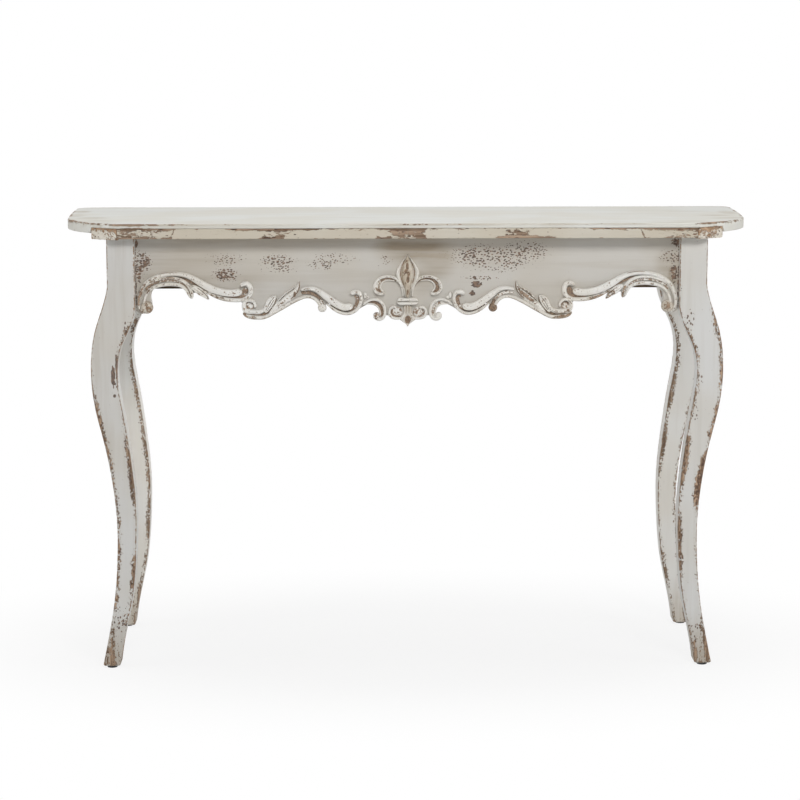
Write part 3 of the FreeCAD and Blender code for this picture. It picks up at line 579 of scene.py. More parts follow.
# Rubbing of the front strips along the table: lower arris, face, upper arris
STRIP_RUB = (
    [(-510, 1.0), (-411, 0.8), (-400, 0.2), (-265, 0.2), (-255, 1.3), (-222, 1.3), (-212, 0.3), (-60, 0.3),
     (-52, 1.0), (-34, 1.0), (-26, 0.5), (12, 0.4), (17, 1.15), (29, 1.15), (36, 0.2), (148, 0.3),
     (160, 1.2), (180, 1.7), (204, 1.7), (216, 1.35), (250, 1.25), (262, 0.4), (290, 0.2), (400, 0.3),
     (470, 0.6), (510, 0.9)],
    [(-510, 0.8), (-486, 0.7), (-450, 0.55), (-411, 0.45), (-400, 0.12), (-262, 0.2), (-250, 0.7),
     (-200, 0.62), (-185, 0.15), (-34, 0.25), (-26, 0.98), (24, 0.92), (34, 0.2), (165, 0.15),
     (180, 0.8), (206, 0.8), (222, 0.3), (250, 0.25), (265, 0.15), (403, 0.2), (466, 0.5), (510, 0.8)],
    [(-510, 1.1), (-466, 1.0), (-411, 0.9), (-400, 0.5), (-325, 0.5), (-312, 1.3), (-166, 1.25),
     (-150, 0.65), (-60, 0.65), (-50, 1.2), (-32, 1.1), (-26, 1.3), (26, 1.3), (36, 0.6), (300, 0.5),
     (321, 1.1), (385, 1.1), (400, 0.8), (412, 1.45), (470, 1.5), (510, 1.3)]
)


def strips():
    y = FRONT + STRIP_SETBACK
    gap = JOINT_GAP / 2
    mitre = math.tan(math.atan2(CANT_DEPTH, CANT_RUN) / 2)

    def strip(start, end, ends, seed, hand):
        return bar((start, y), (end, y), (0, 1), RABBET - STRIP_SETBACK, STRIP_LOW, LIP_Z, STRIP_ROUND, 3.0,
                   seed + hand, lambda x, y: [table(points, hand * x) for points in STRIP_RUB], ends)

    both(lambda hand: strip(gap, STRIP_JOINT - gap, ((0, 0), (-STRIP_SLANT, 0)), 11, hand),
         "edge_strip_middle", "strip_paint", STRIP_PAINT)
    stop = CANT_X - gap - STRIP_SETBACK * mitre
    both(lambda hand: strip(STRIP_JOINT + gap, stop, ((-STRIP_SLANT, 0), (0, -mitre)), 17, hand),
         "edge_strip_end", "strip_paint", STRIP_PAINT)

    length = math.hypot(CANT_RUN, CANT_DEPTH)
    c, s = CANT_RUN / length, CANT_DEPTH / length
    a = (CANT_X + gap - BLOCK_SETBACK * mitre, FRONT + BLOCK_SETBACK)
    b = (CANT_X + (length - gap) * c - BLOCK_SETBACK * s, FRONT + (length - gap) * s + BLOCK_SETBACK * c)

    def block(hand):
        return bar(a, b, (-s, c), RABBET - BLOCK_SETBACK, BLOCK_LOW, LIP_Z, BLOCK_ROUND, 2.0, 23 + hand,
                   lambda x, y: (0.7, 0.62, 0.95), ((0, mitre), (0, 0)))
    both(block, "cant_block", "strip_paint", BLOCK_PAINT)


def side_aprons():
    y0, y1 = LEG_FRONT + FRONT_LEG_DEPTH, LEG_BACK - BACK_LEG_DEPTH
    chord = y1 - y0
    r = (chord * chord / 4 + SIDE_ARCH ** 2) / (2 * SIDE_ARCH)

    def arched(u):
        return SIDE_LOW + SIDE_ARCH - r + math.sqrt(r * r - (chord * (u - 0.5)) ** 2)

    def side(hand):
        return bar((SIDE_OUT, y0), (SIDE_OUT, y1), (-1, 0), SIDE_OUT - SIDE_IN, arched, UNDER, SIDE_ROUND,
                   3.0, 31 + hand, lambda x, y: (0.75, 0.12, 0.4))
    both(side, "side_apron", "frame_paint", SIDE_PAINT)


# Legs
# Outer and inner outline from the front: distance out from LEG_X, and height above the glide
LEG_OUTER = [
    (49, 684), (58, 648), (72, 605), (80, 545), (75, 474), (58.5, 402), (45.5, 330), (39, 255), (40, 195),
    (47, 115), (55, 68), (69, 0)
]
LEG_INNER = [
    (38, 0), (28, 60), (14.5, 124), (6.5, 205), (5, 290), (12.5, 372), (25, 460), (34, 528), (26, 578),
    (13, 606), (5, 626), (0, 646)
]
# Rubbing up the outer and inner arrises of each leg: height and strength
LEG_RUB = {
    ("front", -1): (
        [(4, 0.75), (60, 0.8), (100, 0.7), (130, 0.85), (170, 0.62), (200, 0.85), (250, 0.8), (300, 0.65),
         (380, 0.85), (440, 0.95), (500, 0.85), (520, 0.35), (700, 0.2)],
        [(4, 0.75), (60, 0.8), (90, 0.65), (120, 0.55), (150, 0.95), (200, 0.95), (215, 0.35), (260, 0.25),
         (300, 0.75), (330, 1.0), (390, 0.95), (425, 0.65), (480, 0.25), (560, 0.25), (590, 0.65),
         (615, 0.8), (640, 0.4), (780, 0.3)]
    ),
    ("front", 1): (
        [(4, 1.0), (40, 1.05), (70, 0.9), (100, 0.4), (160, 0.5), (270, 0.35), (292, 0.9), (306, 1.6),
         (335, 1.55), (378, 1.3), (398, 0.45), (430, 0.95), (470, 0.85), (490, 0.65), (530, 0.95),
         (575, 0.75), (605, 1.0), (640, 0.6), (660, 0.2), (700, 0.2)],
        [(4, 0.7), (40, 0.75), (70, 0.6), (120, 0.35), (165, 0.55), (200, 0.95), (215, 0.85), (245, 1.15),
         (280, 0.55), (320, 0.65), (350, 1.05), (390, 1.05), (415, 0.95), (430, 0.4), (470, 0.75),
         (510, 0.7), (540, 0.4), (575, 0.75), (610, 0.75), (640, 0.4), (780, 0.25)]
    ),
    ("back", -1): (
        [(4, 1.0), (60, 0.8), (120, 0.5), (200, 0.9), (300, 0.5), (400, 0.7), (500, 0.4), (600, 0.6),
         (780, 0.3)],
        [(4, 1.0), (60, 0.8), (150, 0.6), (205, 1.0), (260, 0.75), (350, 0.9), (400, 0.8), (450, 0.85),
         (520, 0.85), (560, 0.5), (585, 1.05), (620, 0.4), (780, 0.3)]
    ),
    ("back", 1): (
        [(4, 0.9), (60, 0.8), (150, 0.4), (250, 0.7), (350, 0.5), (450, 0.8), (550, 0.5), (650, 0.6),
         (780, 0.3)],
        [(4, 0.7), (60, 0.7), (130, 0.85), (180, 0.5), (280, 0.4), (320, 0.85), (370, 1.0), (400, 0.6),
         (450, 1.0), (500, 0.9), (560, 0.7), (600, 0.75), (640, 0.4), (780, 0.3)]
    ),
}
# Rubbing of the whole foot: height and strength, and each foot's share of it
FOOT_RUB = [(0, 0.85), (25, 0.82), (60, 0.68), (90, 0.45), (115, 0.0)]
FOOT_SHARE = {("front", -1): 1.1, ("front", 1): 0.55, ("back", -1): 0.9, ("back", 1): 0.35}
# Brown places on the inner side faces: height and strength
INNER_SOIL = {
    ("front", -1): [(510, 0.0), (524, 0.85), (566, 0.85), (580, 0.3), (600, 0.0)],
    ("front", 1): [(520, 0.0), (545, 0.55), (580, 0.6), (600, 0.0)],
}
# Rubbing of the rear arrises beside the front ones, and how far from an arris a face has its points
REAR_SHARE = 0.8
NEAR_ARRIS = (2.0, 4.5, 8.0, 12.0)


def leg_arris(x, y, z, from_angle, strength, hand):
    """Points round a nicked arris, each with its rubbing and soil."""
    nick = rough(x, y, z, 14, 41 + hand) + 0.5 * rough(x, y, z, 4, 43) - 0.55 + 0.3 * strength
    reach = LEG_ROUND - LEG_NICK * max(0.0, nick)
    points = []
    for k in range(5):
        t = math.radians(from_angle + 90 * k / 4)
        soil = (0.62 if 0 < k < 4 else 0.38) * (0.5 + 0.5 * smooth(z, 40, 110))
        points.append((x + reach * math.cos(t), y + reach * math.sin(t), strength, soil))
    return points


def leg_face(a, b, rub_a, rub_b, soil=0.0):
    """Points across a face from corner a to corner b, each with its rubbing and soil."""
    a, b = np.array(a), np.array(b)
    length = np.linalg.norm(b - a)
    points = []
    for away in (*NEAR_ARRIS, length / 2, *[length - near for near in reversed(NEAR_ARRIS)]):
        u = (LEG_ROUND + (length - 2 * LEG_ROUND) * away / length) / length
        near_a = rub_a * (1 - smooth(away, 0.5, 4.5 + 10 * rub_a))
        near_b = rub_b * (1 - smooth(length - away, 0.5, 4.5 + 10 * rub_b))
        points.append((*(a + (b - a) * u), max(near_a, near_b), soil * (1 - smooth(length - away, 6, 22))))
    return points


def leg(end, hand):
    outer, inner = spline(LEG_OUTER, 2.0), spline(LEG_INNER, 2.0)
    # Close together up to the block, then wider apart
    heights = np.concatenate([[0, 0.4, 1.0, 1.8, 2.8], np.linspace(FOOT_TUCK, 690, 330),
                              np.linspace(693, UNDER - FOOT_Z, 30)])
    xo = np.interp(heights, outer[::-1, 1], outer[::-1, 0], right=LEG_BLOCK)
    xi = np.interp(heights, inner[:, 1], inner[:, 0], right=0.0)
    outer_rub, inner_rub = LEG_RUB[end, hand]
    foot_share = FOOT_SHARE[end, hand]
    inner_soil = INNER_SOIL.get((end, hand), [(0, 0)])
    r = LEG_ROUND
    rings, worn, soiled, tinted = [], [], [], []
    for h, o, i in zip(heights, xo, xi):
        z = h + FOOT_Z
        y0, y1 = LEG_FRONT, LEG_FRONT + FRONT_LEG_DEPTH
        if end == "back":
            y1 = LEG_BACK
            y0 = LEG_BACK - np.interp(z, [TAPER_TO, TAPER_FROM], [BACK_FOOT_DEPTH, BACK_LEG_DEPTH])
        tuck = FOOT_TUCK * (1 - math.sqrt(1 - max(0.0, 1 - h / FOOT_TUCK) ** 2 * 0.9))
        x0, x1, y0, y1 = LEG_X + i + tuck, LEG_X + o - tuck, y0 + tuck, y1 - tuck
        rub_out, rub_in = table(outer_rub, z), table(inner_rub, z)
        rear_out, rear_in = rub_out * REAR_SHARE, rub_in * REAR_SHARE
        foot = foot_share * table(FOOT_RUB, z)
        ring = leg_arris(x0 + r, y0 + r, z, 180, rub_in, hand)
        ring += leg_face((x0, y0), (x1, y0), rub_in, rub_out)
        ring += leg_arris(x1 - r, y0 + r, z, 270, rub_out, hand)
        ring += leg_face((x1, y0), (x1, y1), rub_out, rear_out)
        ring += leg_arris(x1 - r, y1 - r, z, 0, rear_out, hand)
        ring += leg_face((x1, y1), (x0, y1), rear_out, rear_in)
        ring += leg_arris(x0 + r, y1 - r, z, 90, rear_in, hand)
        ring += leg_face((x0, y1), (x0, y0), rear_in, rub_in, table(inner_soil, z))
        rings.append([(x, y, z) for x, y, _, _ in ring])
        worn.append([max(rub, foot) for _, _, rub, _ in ring])
        soiled.append([soil for _, _, _, soil in ring])
        tinted.append([math.sqrt(foot_share) * (1 - smooth(z, 15, 110))])
    return Shell().loft(rings, np.array(worn), np.array(soiled), np.array(tinted))


# Carving
# Strands of the right half: distance from the middle, height above the carving's lowest point, width.
# A 'hollow' is the brown-stained ground between two strands.
OUTER_FACE = [
    (463.5, 25.5, 3), (469, 30.5, 5), (472.2, 38.5, 6.2), (472.7, 48, 6.8), (469, 62, 7.6), (461, 76, 8.5),
    (447, 86.3, 8.6), (430, 92.6, 8), (412, 94.7, 7.6), (395, 93.4, 8), (380, 88.3, 9.5),
    (365, 79.6, 11.8), (350, 71, 13), (335, 64.6, 13.2), (320, 61.3, 13), (306, 60.8, 13),
    (296, 62.6, 12.5), (291.5, 65, 9)
]
OUTER_HOOK = [
    (360, 66, 2.5), (347, 59.2, 4.5), (332, 52.8, 6.8), (316, 49, 7.4), (300, 47.8, 7.4), (288, 49.5, 7),
    (280, 54.5, 7.5), (276, 62, 8.6), (276.5, 70, 9), (281.5, 76.3, 9), (288.5, 76.3, 8.2),
    (292.7, 72.5, 6.5)
]
OUTER_HOLLOW = [
    (345, 62.5, 2), (325, 55, 3), (310, 52.8, 3.5), (298, 53, 4.5), (289, 57, 8), (285.5, 64, 10),
    (287, 70, 8)
]
ARCH_UPPER = [
    (470, 55, 3), (466, 66, 4), (458, 76, 5), (447, 82, 5), (432, 86.3, 5), (418, 88, 5), (405, 86.5, 5.2),
    (394, 82, 6), (385.5, 74.5, 6.5), (380.5, 65, 6), (378.5, 56, 4.5), (379, 50.5, 1.5)
]
ARCH_LOWER = [
    (465, 30, 4), (463.5, 42, 4.5), (461, 54, 5), (455, 64.3, 5.6), (446, 70.9, 6.2), (435, 74.7, 6.8),
    (422, 76.5, 7.2), (408, 76, 6.8), (397, 73.2, 6), (389.5, 67, 5), (384.5, 58, 4.5), (380.5, 51, 2)
]
ARCH_HOLLOW = [
    (460, 66, 5), (450, 76, 5), (436, 82, 5), (420, 84, 5), (406, 82.5, 5), (395, 78, 6), (387, 70, 7),
    (382.5, 60, 6), (380.5, 54, 3)
]
ARCH_TIP = [
    (380, 73, 6), (372, 68.5, 11), (363, 62, 12.5), (356, 56.5, 9), (350.8, 51, 4), (348.8, 49.3, 1.5)
]
TIP_HOLLOW = [
    (400, 87.5, 3), (388, 83.5, 4), (378, 79.5, 4.5), (366, 71.5, 5), (354, 63.5, 4.5), (349, 60, 3)
]
VOLUTE = [
    (268.8, 35, 4.5), (268.5, 41, 5), (272.5, 46, 5.5), (279, 48, 6), (285.3, 45.5, 6.5), (288.2, 39, 7),
    (286.8, 31.8, 8), (281, 27.8, 9), (272, 27.4, 8.6), (262, 27, 8), (254.5, 29.5, 7), (250, 35, 6.2),
    (247.5, 42, 5.5), (243.5, 49, 5), (238.5, 53.6, 3.6), (234, 55.3, 1.6)
]
LOWER_BEAD = [
    (289, 26.5, 4), (283.5, 20.5, 6.5), (275, 17.8, 7.5), (265, 17, 7.5), (255, 17, 7), (247, 19.5, 6.5),
    (236, 25.5, 6.5), (222, 33.3, 6.5), (207, 42, 6.5), (195, 48.3, 6.5), (184, 52.6, 6.2), (174, 53.8, 6),
    (164.5, 50.8, 6), (157.5, 44.5, 6), (154, 38, 6)
]
MIDDLE_HOLLOW = [
    (287, 28, 3), (278, 22.5, 3.5), (266, 21.8, 3.5), (255, 22.5, 3.5), (247, 27, 4), (240, 35, 4),
    (234.5, 44, 4), (231.5, 52, 2.5)
]
SMALL_LEAF = [
    (251, 26, 5), (246, 33.5, 9), (241.5, 41, 11.5), (237.5, 47.5, 10), (234, 52.5, 5.5), (232, 55.5, 1.5)
]
LONG_LEAF = [
    (243, 24.5, 4), (233, 34, 9), (223, 43.5, 13.5), (212, 52.5, 16.5), (202.5, 60, 15.5),
    (195.5, 67.5, 11), (192.3, 75, 5.5), (191.3, 82, 1.2)
]
INNER_FACE = [
    (187.5, 66, 5), (180, 67.8, 6.5), (170, 68.2, 7.8), (160, 65.5, 9), (150, 58.8, 11), (140, 51.3, 12.2),
    (130, 44, 12.8), (120, 38.2, 13), (110, 35.2, 13), (102, 36.5, 12.5), (97.5, 40, 9)
]
INNER_HOOK = [
    (143, 41.5, 2.5), (134, 34.5, 4.5), (124, 28, 5.2), (112, 24, 5.5), (101, 24.3, 5.5),
    (92.5, 28.5, 5.8), (86, 35.5, 6), (82.3, 44.5, 6), (82, 54, 6.4), (86.3, 60.6, 8), (93.5, 61.5, 9),
    (99.8, 57.8, 7.5)
]
INNER_HOLLOW = [
    (136, 40.5, 2.5), (126, 32.5, 2.5), (112, 29, 2.5), (101, 30.5, 3.5), (92.5, 36, 5.5), (88.5, 44, 6.5),
    (88.5, 51.5, 6), (94, 54.5, 4.5)
]
SPAN_HOLLOW = [(187, 60.5, 5), (178, 61.5, 5.5), (168, 59.5, 5), (159, 54, 4.5), (153.5, 48, 4)]
C_RIM = [
    (79, 39, 3.5), (71, 45, 4.5), (61, 48.7, 5.2), (51, 46.8, 5.6), (44, 41, 5.6), (40.3, 32.5, 5.4),
    (39.8, 24, 5.2), (42.5, 17.3, 5.8), (48.5, 13.8, 6.5), (55, 15.3, 7), (58, 20.5, 6)
]
C_LIP = [
    (75, 40, 2), (66, 41, 3.2), (58, 39.3, 3.4), (51.8, 34.5, 3.4), (48.8, 28, 3.4), (48.3, 22.5, 3.4),
    (50.5, 19, 3)
]
C_HOLLOW = [
    (70, 42.3, 2), (61, 43.3, 5), (52.5, 40.3, 6), (46.8, 34.5, 6), (44.3, 27, 5.5), (44.5, 20.5, 5),
    (48, 17, 4)
]
PETAL_RIM = [
    (7.5, 54, 2.6), (9.8, 68, 3.4), (13.5, 77.5, 4.2), (20.5, 85.5, 4.8), (30, 89, 5), (40, 88.8, 5),
    (49.5, 85.5, 5), (56, 79, 5), (58.6, 71, 5), (57, 63.5, 5), (51.5, 59.3, 5), (45, 58.5, 5),
    (40.3, 60.5, 5)
]
PETAL_LIP = [
    (22, 80.5, 1.5), (32, 82.8, 2.2), (41, 81, 2.6), (46.5, 76, 3), (48, 70, 3), (46, 65, 3),
    (42.5, 62.5, 3)
]
PETAL_HOLLOW = [
    (8.5, 59, 1.5), (12, 71.5, 2.2), (20, 81.3, 3), (30, 84.8, 3.6), (40, 84.2, 4.6), (47.5, 80.5, 6.5),
    (52.3, 74.5, 8), (52.8, 68, 8), (49.5, 63.3, 6), (44.5, 61.5, 4)
]
CURL = [
    (11.5, 15.5, 4.5), (20, 15, 5), (28, 17.3, 5.2), (32.3, 23.8, 5.2), (31.2, 31, 5), (26, 35, 4.6),
    (20.5, 33.3, 4)
]
CURL_HOLLOW = [(14, 19, 2), (21, 19, 3), (26.5, 21.5, 3.4), (28, 26.5, 3.4), (25.5, 30.5, 2.6)]
CENTRE_PETAL = [
    (0, 129, 0.8), (0, 117.5, 18), (0, 107, 33), (0, 96.5, 41), (0, 87, 38), (0, 77.5, 28), (0, 68, 18),
    (0, 58.5, 12), (0, 51.5, 10.4)
]
FLEUR_FOOT = [
    (0, 39, 19), (0, 35, 16), (0, 30, 13), (0, 25, 14.5), (0, 20, 22), (0, 15.5, 29), (0, 8, 15),
    (0, 0.4, 0.8)
]
CROSS_BAND = [(-18.5, 45, 13.5), (-6, 45, 13.5), (6, 45, 13.5), (18.5, 45, 13.5)]
# Sections across a strand: place from -1 to 1, and height as a share of the relief
BEAD = [(-1, 0.16), (-0.7, 0.74), (0, 1), (0.7, 0.74), (1, 0.16)]
FACE = [(-1, 0.25), (-0.84, 0.88), (-0.4, 1), (0.3, 0.95), (0.8, 0.8), (1, 0.25)]
GROUND = [(-1, 0.8), (0, 0.6), (1, 0.8)]


def profile_curve(points, t):
    """Smooth height across a strand, flat at each peak and hollow, through points (t, height)."""
    x, y = np.array(points, float).T
    h, d = np.diff(x), np.diff(y) / np.diff(x)
    m = np.zeros(len(x))
    for i in range(1, len(x) - 1):
        if d[i - 1] * d[i] > 0:
            w0, w1 = 2 * h[i] + h[i - 1], h[i] + 2 * h[i - 1]
            m[i] = (w0 + w1) / (w0 / d[i - 1] + w1 / d[i])
    # Steep ends, so that the sides are round
    m[0], m[-1] = 2.2 * d[0], 2.2 * d[-1]
    k = np.clip(np.searchsorted(x, t, side="right") - 1, 0, len(x) - 2)
    u = (t - x[k]) / h[k]
    return hermite(u, h[k], y[k], m[k], y[k + 1], m[k + 1])


def strand(shell, path, relief, shape=BEAD, to_shape=None, turn=(0.3, 0.6), stain=0.0, grooves=(), pits=(),
           wear=0.0, wash=(), wash_end=2.0, across=19, step=1.2, seed=1):
    """Carved strand along a path, standing off the board by relief at most.

    Its section is shape, or goes over to to_shape between the two shares of its length in turn. A groove
    is (t, depth, width, from, to), and a pit (x, height, half width, half height, depth). wear is its own
    rubbing, or (share of the length, rubbing) pairs; wash is (t, tint) pairs, up to the share wash_end.
    Ends are rounded."""
    q = spline(path, step)
    centre, width = q[:, :2], np.maximum(q[:, 2], 0.8)
    way = np.concatenate([[0], np.cumsum(np.linalg.norm(np.diff(centre, axis=0), axis=1))])
    # Round ends
    near = np.minimum(way, way[-1] - way)
    width = width * np.sqrt(1 - np.clip(1 - near / (width * 0.5), 0, 0.97) ** 2)
    tangent = np.gradient(centre, axis=0)
    tangent /= np.linalg.norm(tangent, axis=1)[:, None]
    side = np.stack([-tangent[:, 1], tangent[:, 0]], 1)
    t = np.sin(np.linspace(-math.pi / 2, math.pi / 2, across))
    s = (way / way[-1])[:, None]
    section = profile_curve(shape, t)[None, :] * np.ones_like(s)
    if to_shape:
        share = smooth(s, *turn)
        section = section * (1 - share) + profile_curve(to_shape, t)[None, :] * share
    # Lower where it is narrow, and a little uneven
    tall = relief * (0.55 + 0.45 * smooth(width, 0.5, 5.0))
    tall = tall * np.array([1 + 0.07 * rough(x, z, 0, 9, seed) for x, z in centre])
    high = section * tall[:, None]
    # Brown at the foot of its sides, where it meets the board, more so on the underside: grime, and painted
    # shade in the crease and under the strand
    below = np.clip(-side[:, 1:] * t, -1, 1)
    dirt_and_shade = np.maximum(stain, (0.53 + 0.16 * below) * (1 - smooth(section, 0.2, 0.62)))
    for at, depth, wide, start, stop in grooves:
        fade = smooth(s, start - 0.04, start + 0.06) * (1 - smooth(s, stop - 0.06, stop + 0.04))
        mark = np.exp(-((t[None, :] - at) * width[:, None] / wide) ** 2 * 3) * fade
        high -= depth * mark
        dirt_and_shade = np.maximum(dirt_and_shade, (0.74 + 0.1 * depth) * mark)
    x = centre[:, :1] + side[:, :1] * t * width[:, None] / 2
    z = centre[:, 1:2] + side[:, 1:] * t * width[:, None] / 2
    for px, ph, rx, rh, depth in pits:
        mark = 1 - smooth(np.hypot((x - px) / rx, (z - ph) / rh), 0.35, 1.0)
        high -= depth * mark
        dirt_and_shade = np.maximum(dirt_and_shade, 0.92 * mark)
    # Carved front, with two points on the board behind it
    high = np.maximum(high, 0.4)
    front = np.stack([x, APRON_FRONT - high, z + APRON_TIP], 2)
    back = front[:, [-1, 0]].copy()
    back[:, :, 1] = APRON_FRONT
    rings = np.concatenate([front, back], 1)
    rows = len(rings)
    own = wear if np.isscalar(wear) else table(wear, s)
    worn = np.concatenate([np.clip(high / relief, 0, 1) ** 3 + own, np.zeros((rows, 2))], 1)
    tint = table(wash, t) if wash else np.zeros(across)
    tint = np.append(tint, [0, 0])[None, :] * (1 - smooth(s, wash_end - 0.15, wash_end))
    # The two points on the board are brown: grime and painted shade at the strand's foot
    return shell.loft(rings, worn, np.concatenate([dirt_and_shade, np.full((rows, 2), 0.9)], 1), tint)


def knob(shell, x, h, rx, rh, relief, stain=0.0, wear=0.0, wash=0.0):
    """Round or oval knob with its back flat on the board."""
    turns = [2 * math.pi * k / 30 for k in range(30)]
    # Share of the radius and of the relief, from the board to the crown
    levels = [(1.0, 0.0), (1.0, 0.15)]
    levels += [(math.cos(a), 0.15 + 0.85 * math.sin(a)) for a in np.linspace(0.12, 1.5, 10)]
    rings, worn, soiled = [], [], []
    for rho, lift in levels:
        rings.append([(x + rx * rho * math.cos(a), APRON_FRONT - relief * lift,
                       APRON_TIP + h + rh * rho * math.sin(a)) for a in turns])
        worn.append([lift ** 3 + wear] * len(turns))
        # Browner towards the board: grime and painted shade at the knob's foot
        soiled.append([max(stain, 0.85 * (1 - lift) ** 1.5)] * len(turns))
    return shell.loft(rings, np.array(worn), np.array(soiled), wash)


# Each carving has a function with the name of its node. Where the right-hand and the left-hand one
# differ in rubbing or stain, pick(right, left) gives the value that counts.

def outer_scroll(pick):
    shell = strand(Shell(), OUTER_HOLLOW, 3.0, GROUND, stain=pick(0.72, 0.66))
    strand(shell, OUTER_FACE, 9.0, BEAD, FACE, (0.55, 0.75), across=27, seed=2,
           wear=pick([(0, 0.5), (0.1, 0.3), (0.25, 0.25), (0.4, 0.0), (1, 0.0)],
                     [(0, 0.9), (0.12, 0.95), (0.26, 0.8), (0.38, 0.2), (0.5, 0.0), (1, 0.0)]),
           grooves=[pick((-0.72, 1.2, 2.6, 0.42, 0.6), (-0.78, 1.0, 2.2, 0.33, 0.52))])
    strand(shell, OUTER_HOOK, 8.5, grooves=[(0.72, 0.4, 2.6, 0.05, 0.4)], seed=3, wash_end=0.5,
           wash=[(-0.6, 0.0), (0.2, 0.7), (1, 0.9)], wear=[(0, 0.9), (0.3, 0.85), (0.45, 0.2), (1, 0.1)])
    return knob(shell, 458.3, 35.5, 11.0, 11.0, 11.0, pick(0.5, 0.55), pick(0.3, 0.6), pick(0.75, 0.7))


def arch_leaves(pick):
    shell = strand(Shell(), ARCH_HOLLOW, 3.6, GROUND, stain=pick(0.6, 0.64))
    strand(shell, TIP_HOLLOW, 3.0, GROUND, stain=0.78)
    strand(shell, ARCH_UPPER, 7.5, seed=4,
           wear=pick([(0, 0.6), (0.3, 0.2), (0.7, 0.1), (0.85, 0.9), (1, 1.0)],
                     [(0, 0.9), (0.25, 0.5), (0.5, 0.7), (1, 0.3)]))
    strand(shell, ARCH_LOWER, 6.6, wear=pick(0.15, 0.4), seed=5)
    return strand(shell, ARCH_TIP, 7.5, FACE, across=27, seed=6,
                  wear=pick([(0, 0.1), (0.45, 0.3), (0.6, 0.9), (1, 1.0)], 0.3),
                  grooves=[(-0.5, 2.4, 2.6, 0.25, 1.0), (0.25, 0.9, 2.0, 0.1, 0.7)])


def middle_scroll(pick):
    shell = strand(Shell(), MIDDLE_HOLLOW, 3.0, GROUND, stain=0.7)
    knob(shell, 278.5, 37, 8.5, 7.5, 2.6, 0.6)
    strand(shell, VOLUTE, 8.5, wear=pick(0.3, 0.1), seed=7)
    strand(shell, LOWER_BEAD, 7.6, stain=0.42, grooves=[(0.74, 0.4, 2.2, 0.25, 0.8)], seed=8,
           wear=[(0, 0.9), (0.12, 0.95), (0.22, 0.35), (0.3, 0.0), (1, 0.0)],
           wash=[(-0.5, 0.1), (0.3, 0.45), (1, 0.6)])
    strand(shell, [(152.5, 49, 5), (151.3, 42.5, 7), (150.6, 36, 7)], 6.0, stain=pick(0.74, 0.55))
    return knob(shell, 150.3, 33.8, 7.7, 7.5, 8.5, pick(0.76, 0.42), pick(0.5, 0.1))


def leaf_pair(pick):
    shell = strand(Shell(), SMALL_LEAF, 6.6, FACE, across=27,
                   grooves=[(-0.35, 2.0, 2.2, 0.1, 0.95), (0.3, 1.4, 2.0, 0.1, 0.8)])
    leaf = [(-1, 0.25), (-0.86, 0.8), (-0.6, 0.34), (-0.3, 0.86), (0.15, 1), (0.6, 0.8), (1, 0.25)]
    return strand(shell, LONG_LEAF, 7.6, FACE, leaf, (0.18, 0.34), across=33, seed=9,
                  wear=pick([(0, 0.1), (0.25, 0.3), (0.45, 0.95), (0.8, 1.0), (1, 0.3)], 0.1),
                  grooves=[(-0.62, 1.6, 2.8, 0.3, 0.82), (0.74, 3.4, 4.2, 0.55, 1.0)],
                  pits=pick([], [(198.5, 58.5, 4.2, 8.5, 1.0)]))


def inner_scroll(pick):
    shell = strand(Shell(), INNER_HOLLOW, 3.0, GROUND, stain=pick(0.64, 0.66))
    strand(shell, SPAN_HOLLOW, 3.0, GROUND, stain=pick(0.56, 0.72))
    strand(shell, INNER_FACE, 9.0, BEAD, FACE, (0.3, 0.55), across=27, seed=10)
    return strand(shell, INNER_HOOK, 8.5, grooves=[(0.74, 0.4, 2.4, 0.05, 0.5)], wear=pick(0.15, 0.05),
                  wash=[(-0.4, 0.0), (0.4, 0.4), (1, 0.6)], wash_end=0.6, seed=11)


def c_scroll(pick):
    shell = strand(Shell(), C_HOLLOW, 3.2, GROUND, stain=pick(0.57, 0.72))
    strand(shell, C_RIM, 8.5, wear=[(0, 0.0), (0.7, 0.0), (1, pick(0.1, 0.7))], seed=12)
    strand(shell, C_LIP, 5.8, wear=pick(0.0, 0.3), seed=13)
    return knob(shell, 54.5, 20, 6.0, 6.0, 8.2, pick(0.2, 0.6))


def bead_drops(pick):
    shell = knob(Shell(), 75, 55.5, 3.0, 5.6, 5.0)
    return knob(shell, 70.5, 51.8, 2.4, 3.2, 3.6)


def fleur_side_petal(pick):
    shell = strand(Shell(), PETAL_HOLLOW, 2.8, GROUND, stain=pick(0.7, 0.6))
    strand(shell, PETAL_RIM, 8.5, wear=pick([(0, 0.1), (0.35, 0.4), (0.6, 0.3), (1, 0.0)], 0.1), seed=14)
    return strand(shell, PETAL_LIP, 5.2, seed=15)


def fleur_curl(pick):
    shell = knob(Shell(), 20, 26, 10.5, 9.5, 1.4, 0.56)
    strand(shell, CURL_HOLLOW, 3.6, GROUND, stain=pick(0.62, 0.72))
    return strand(shell, CURL, 7.0, seed=16)


def fleur_petal():
    rims = [(-1, 0.25), (-0.86, 0.97), (-0.74, 0.7), (-0.65, 0.25), (-0.54, 0.25), (-0.44, 0.6), (0, 0.8),
            (0.44, 0.6), (0.54, 0.25), (0.65, 0.25), (0.74, 0.7), (0.86, 0.97), (1, 0.25)]
    marks = [(-0.5, 107, 4.2, 12, 1.6), (-3.2, 98, 4.0, 7, 1.2), (1.6, 94, 4.2, 7, 1.2),
             (0.5, 84, 5.0, 10, 1.4), (0, 62, 2.6, 8, 1.0)]
    return strand(Shell(), CENTRE_PETAL, 9.0, rims, across=45, step=1.0, pits=marks, wear=0.05, seed=17,
                  grooves=[(-0.599, 0.4, 5.6, 0.1, 0.74), (0.599, 0.4, 4.8, 0.14, 0.7)],
                  wash=[(-0.6, 0.1), (-0.5, 1.0), (0.5, 1.0), (0.6, 0.1)])


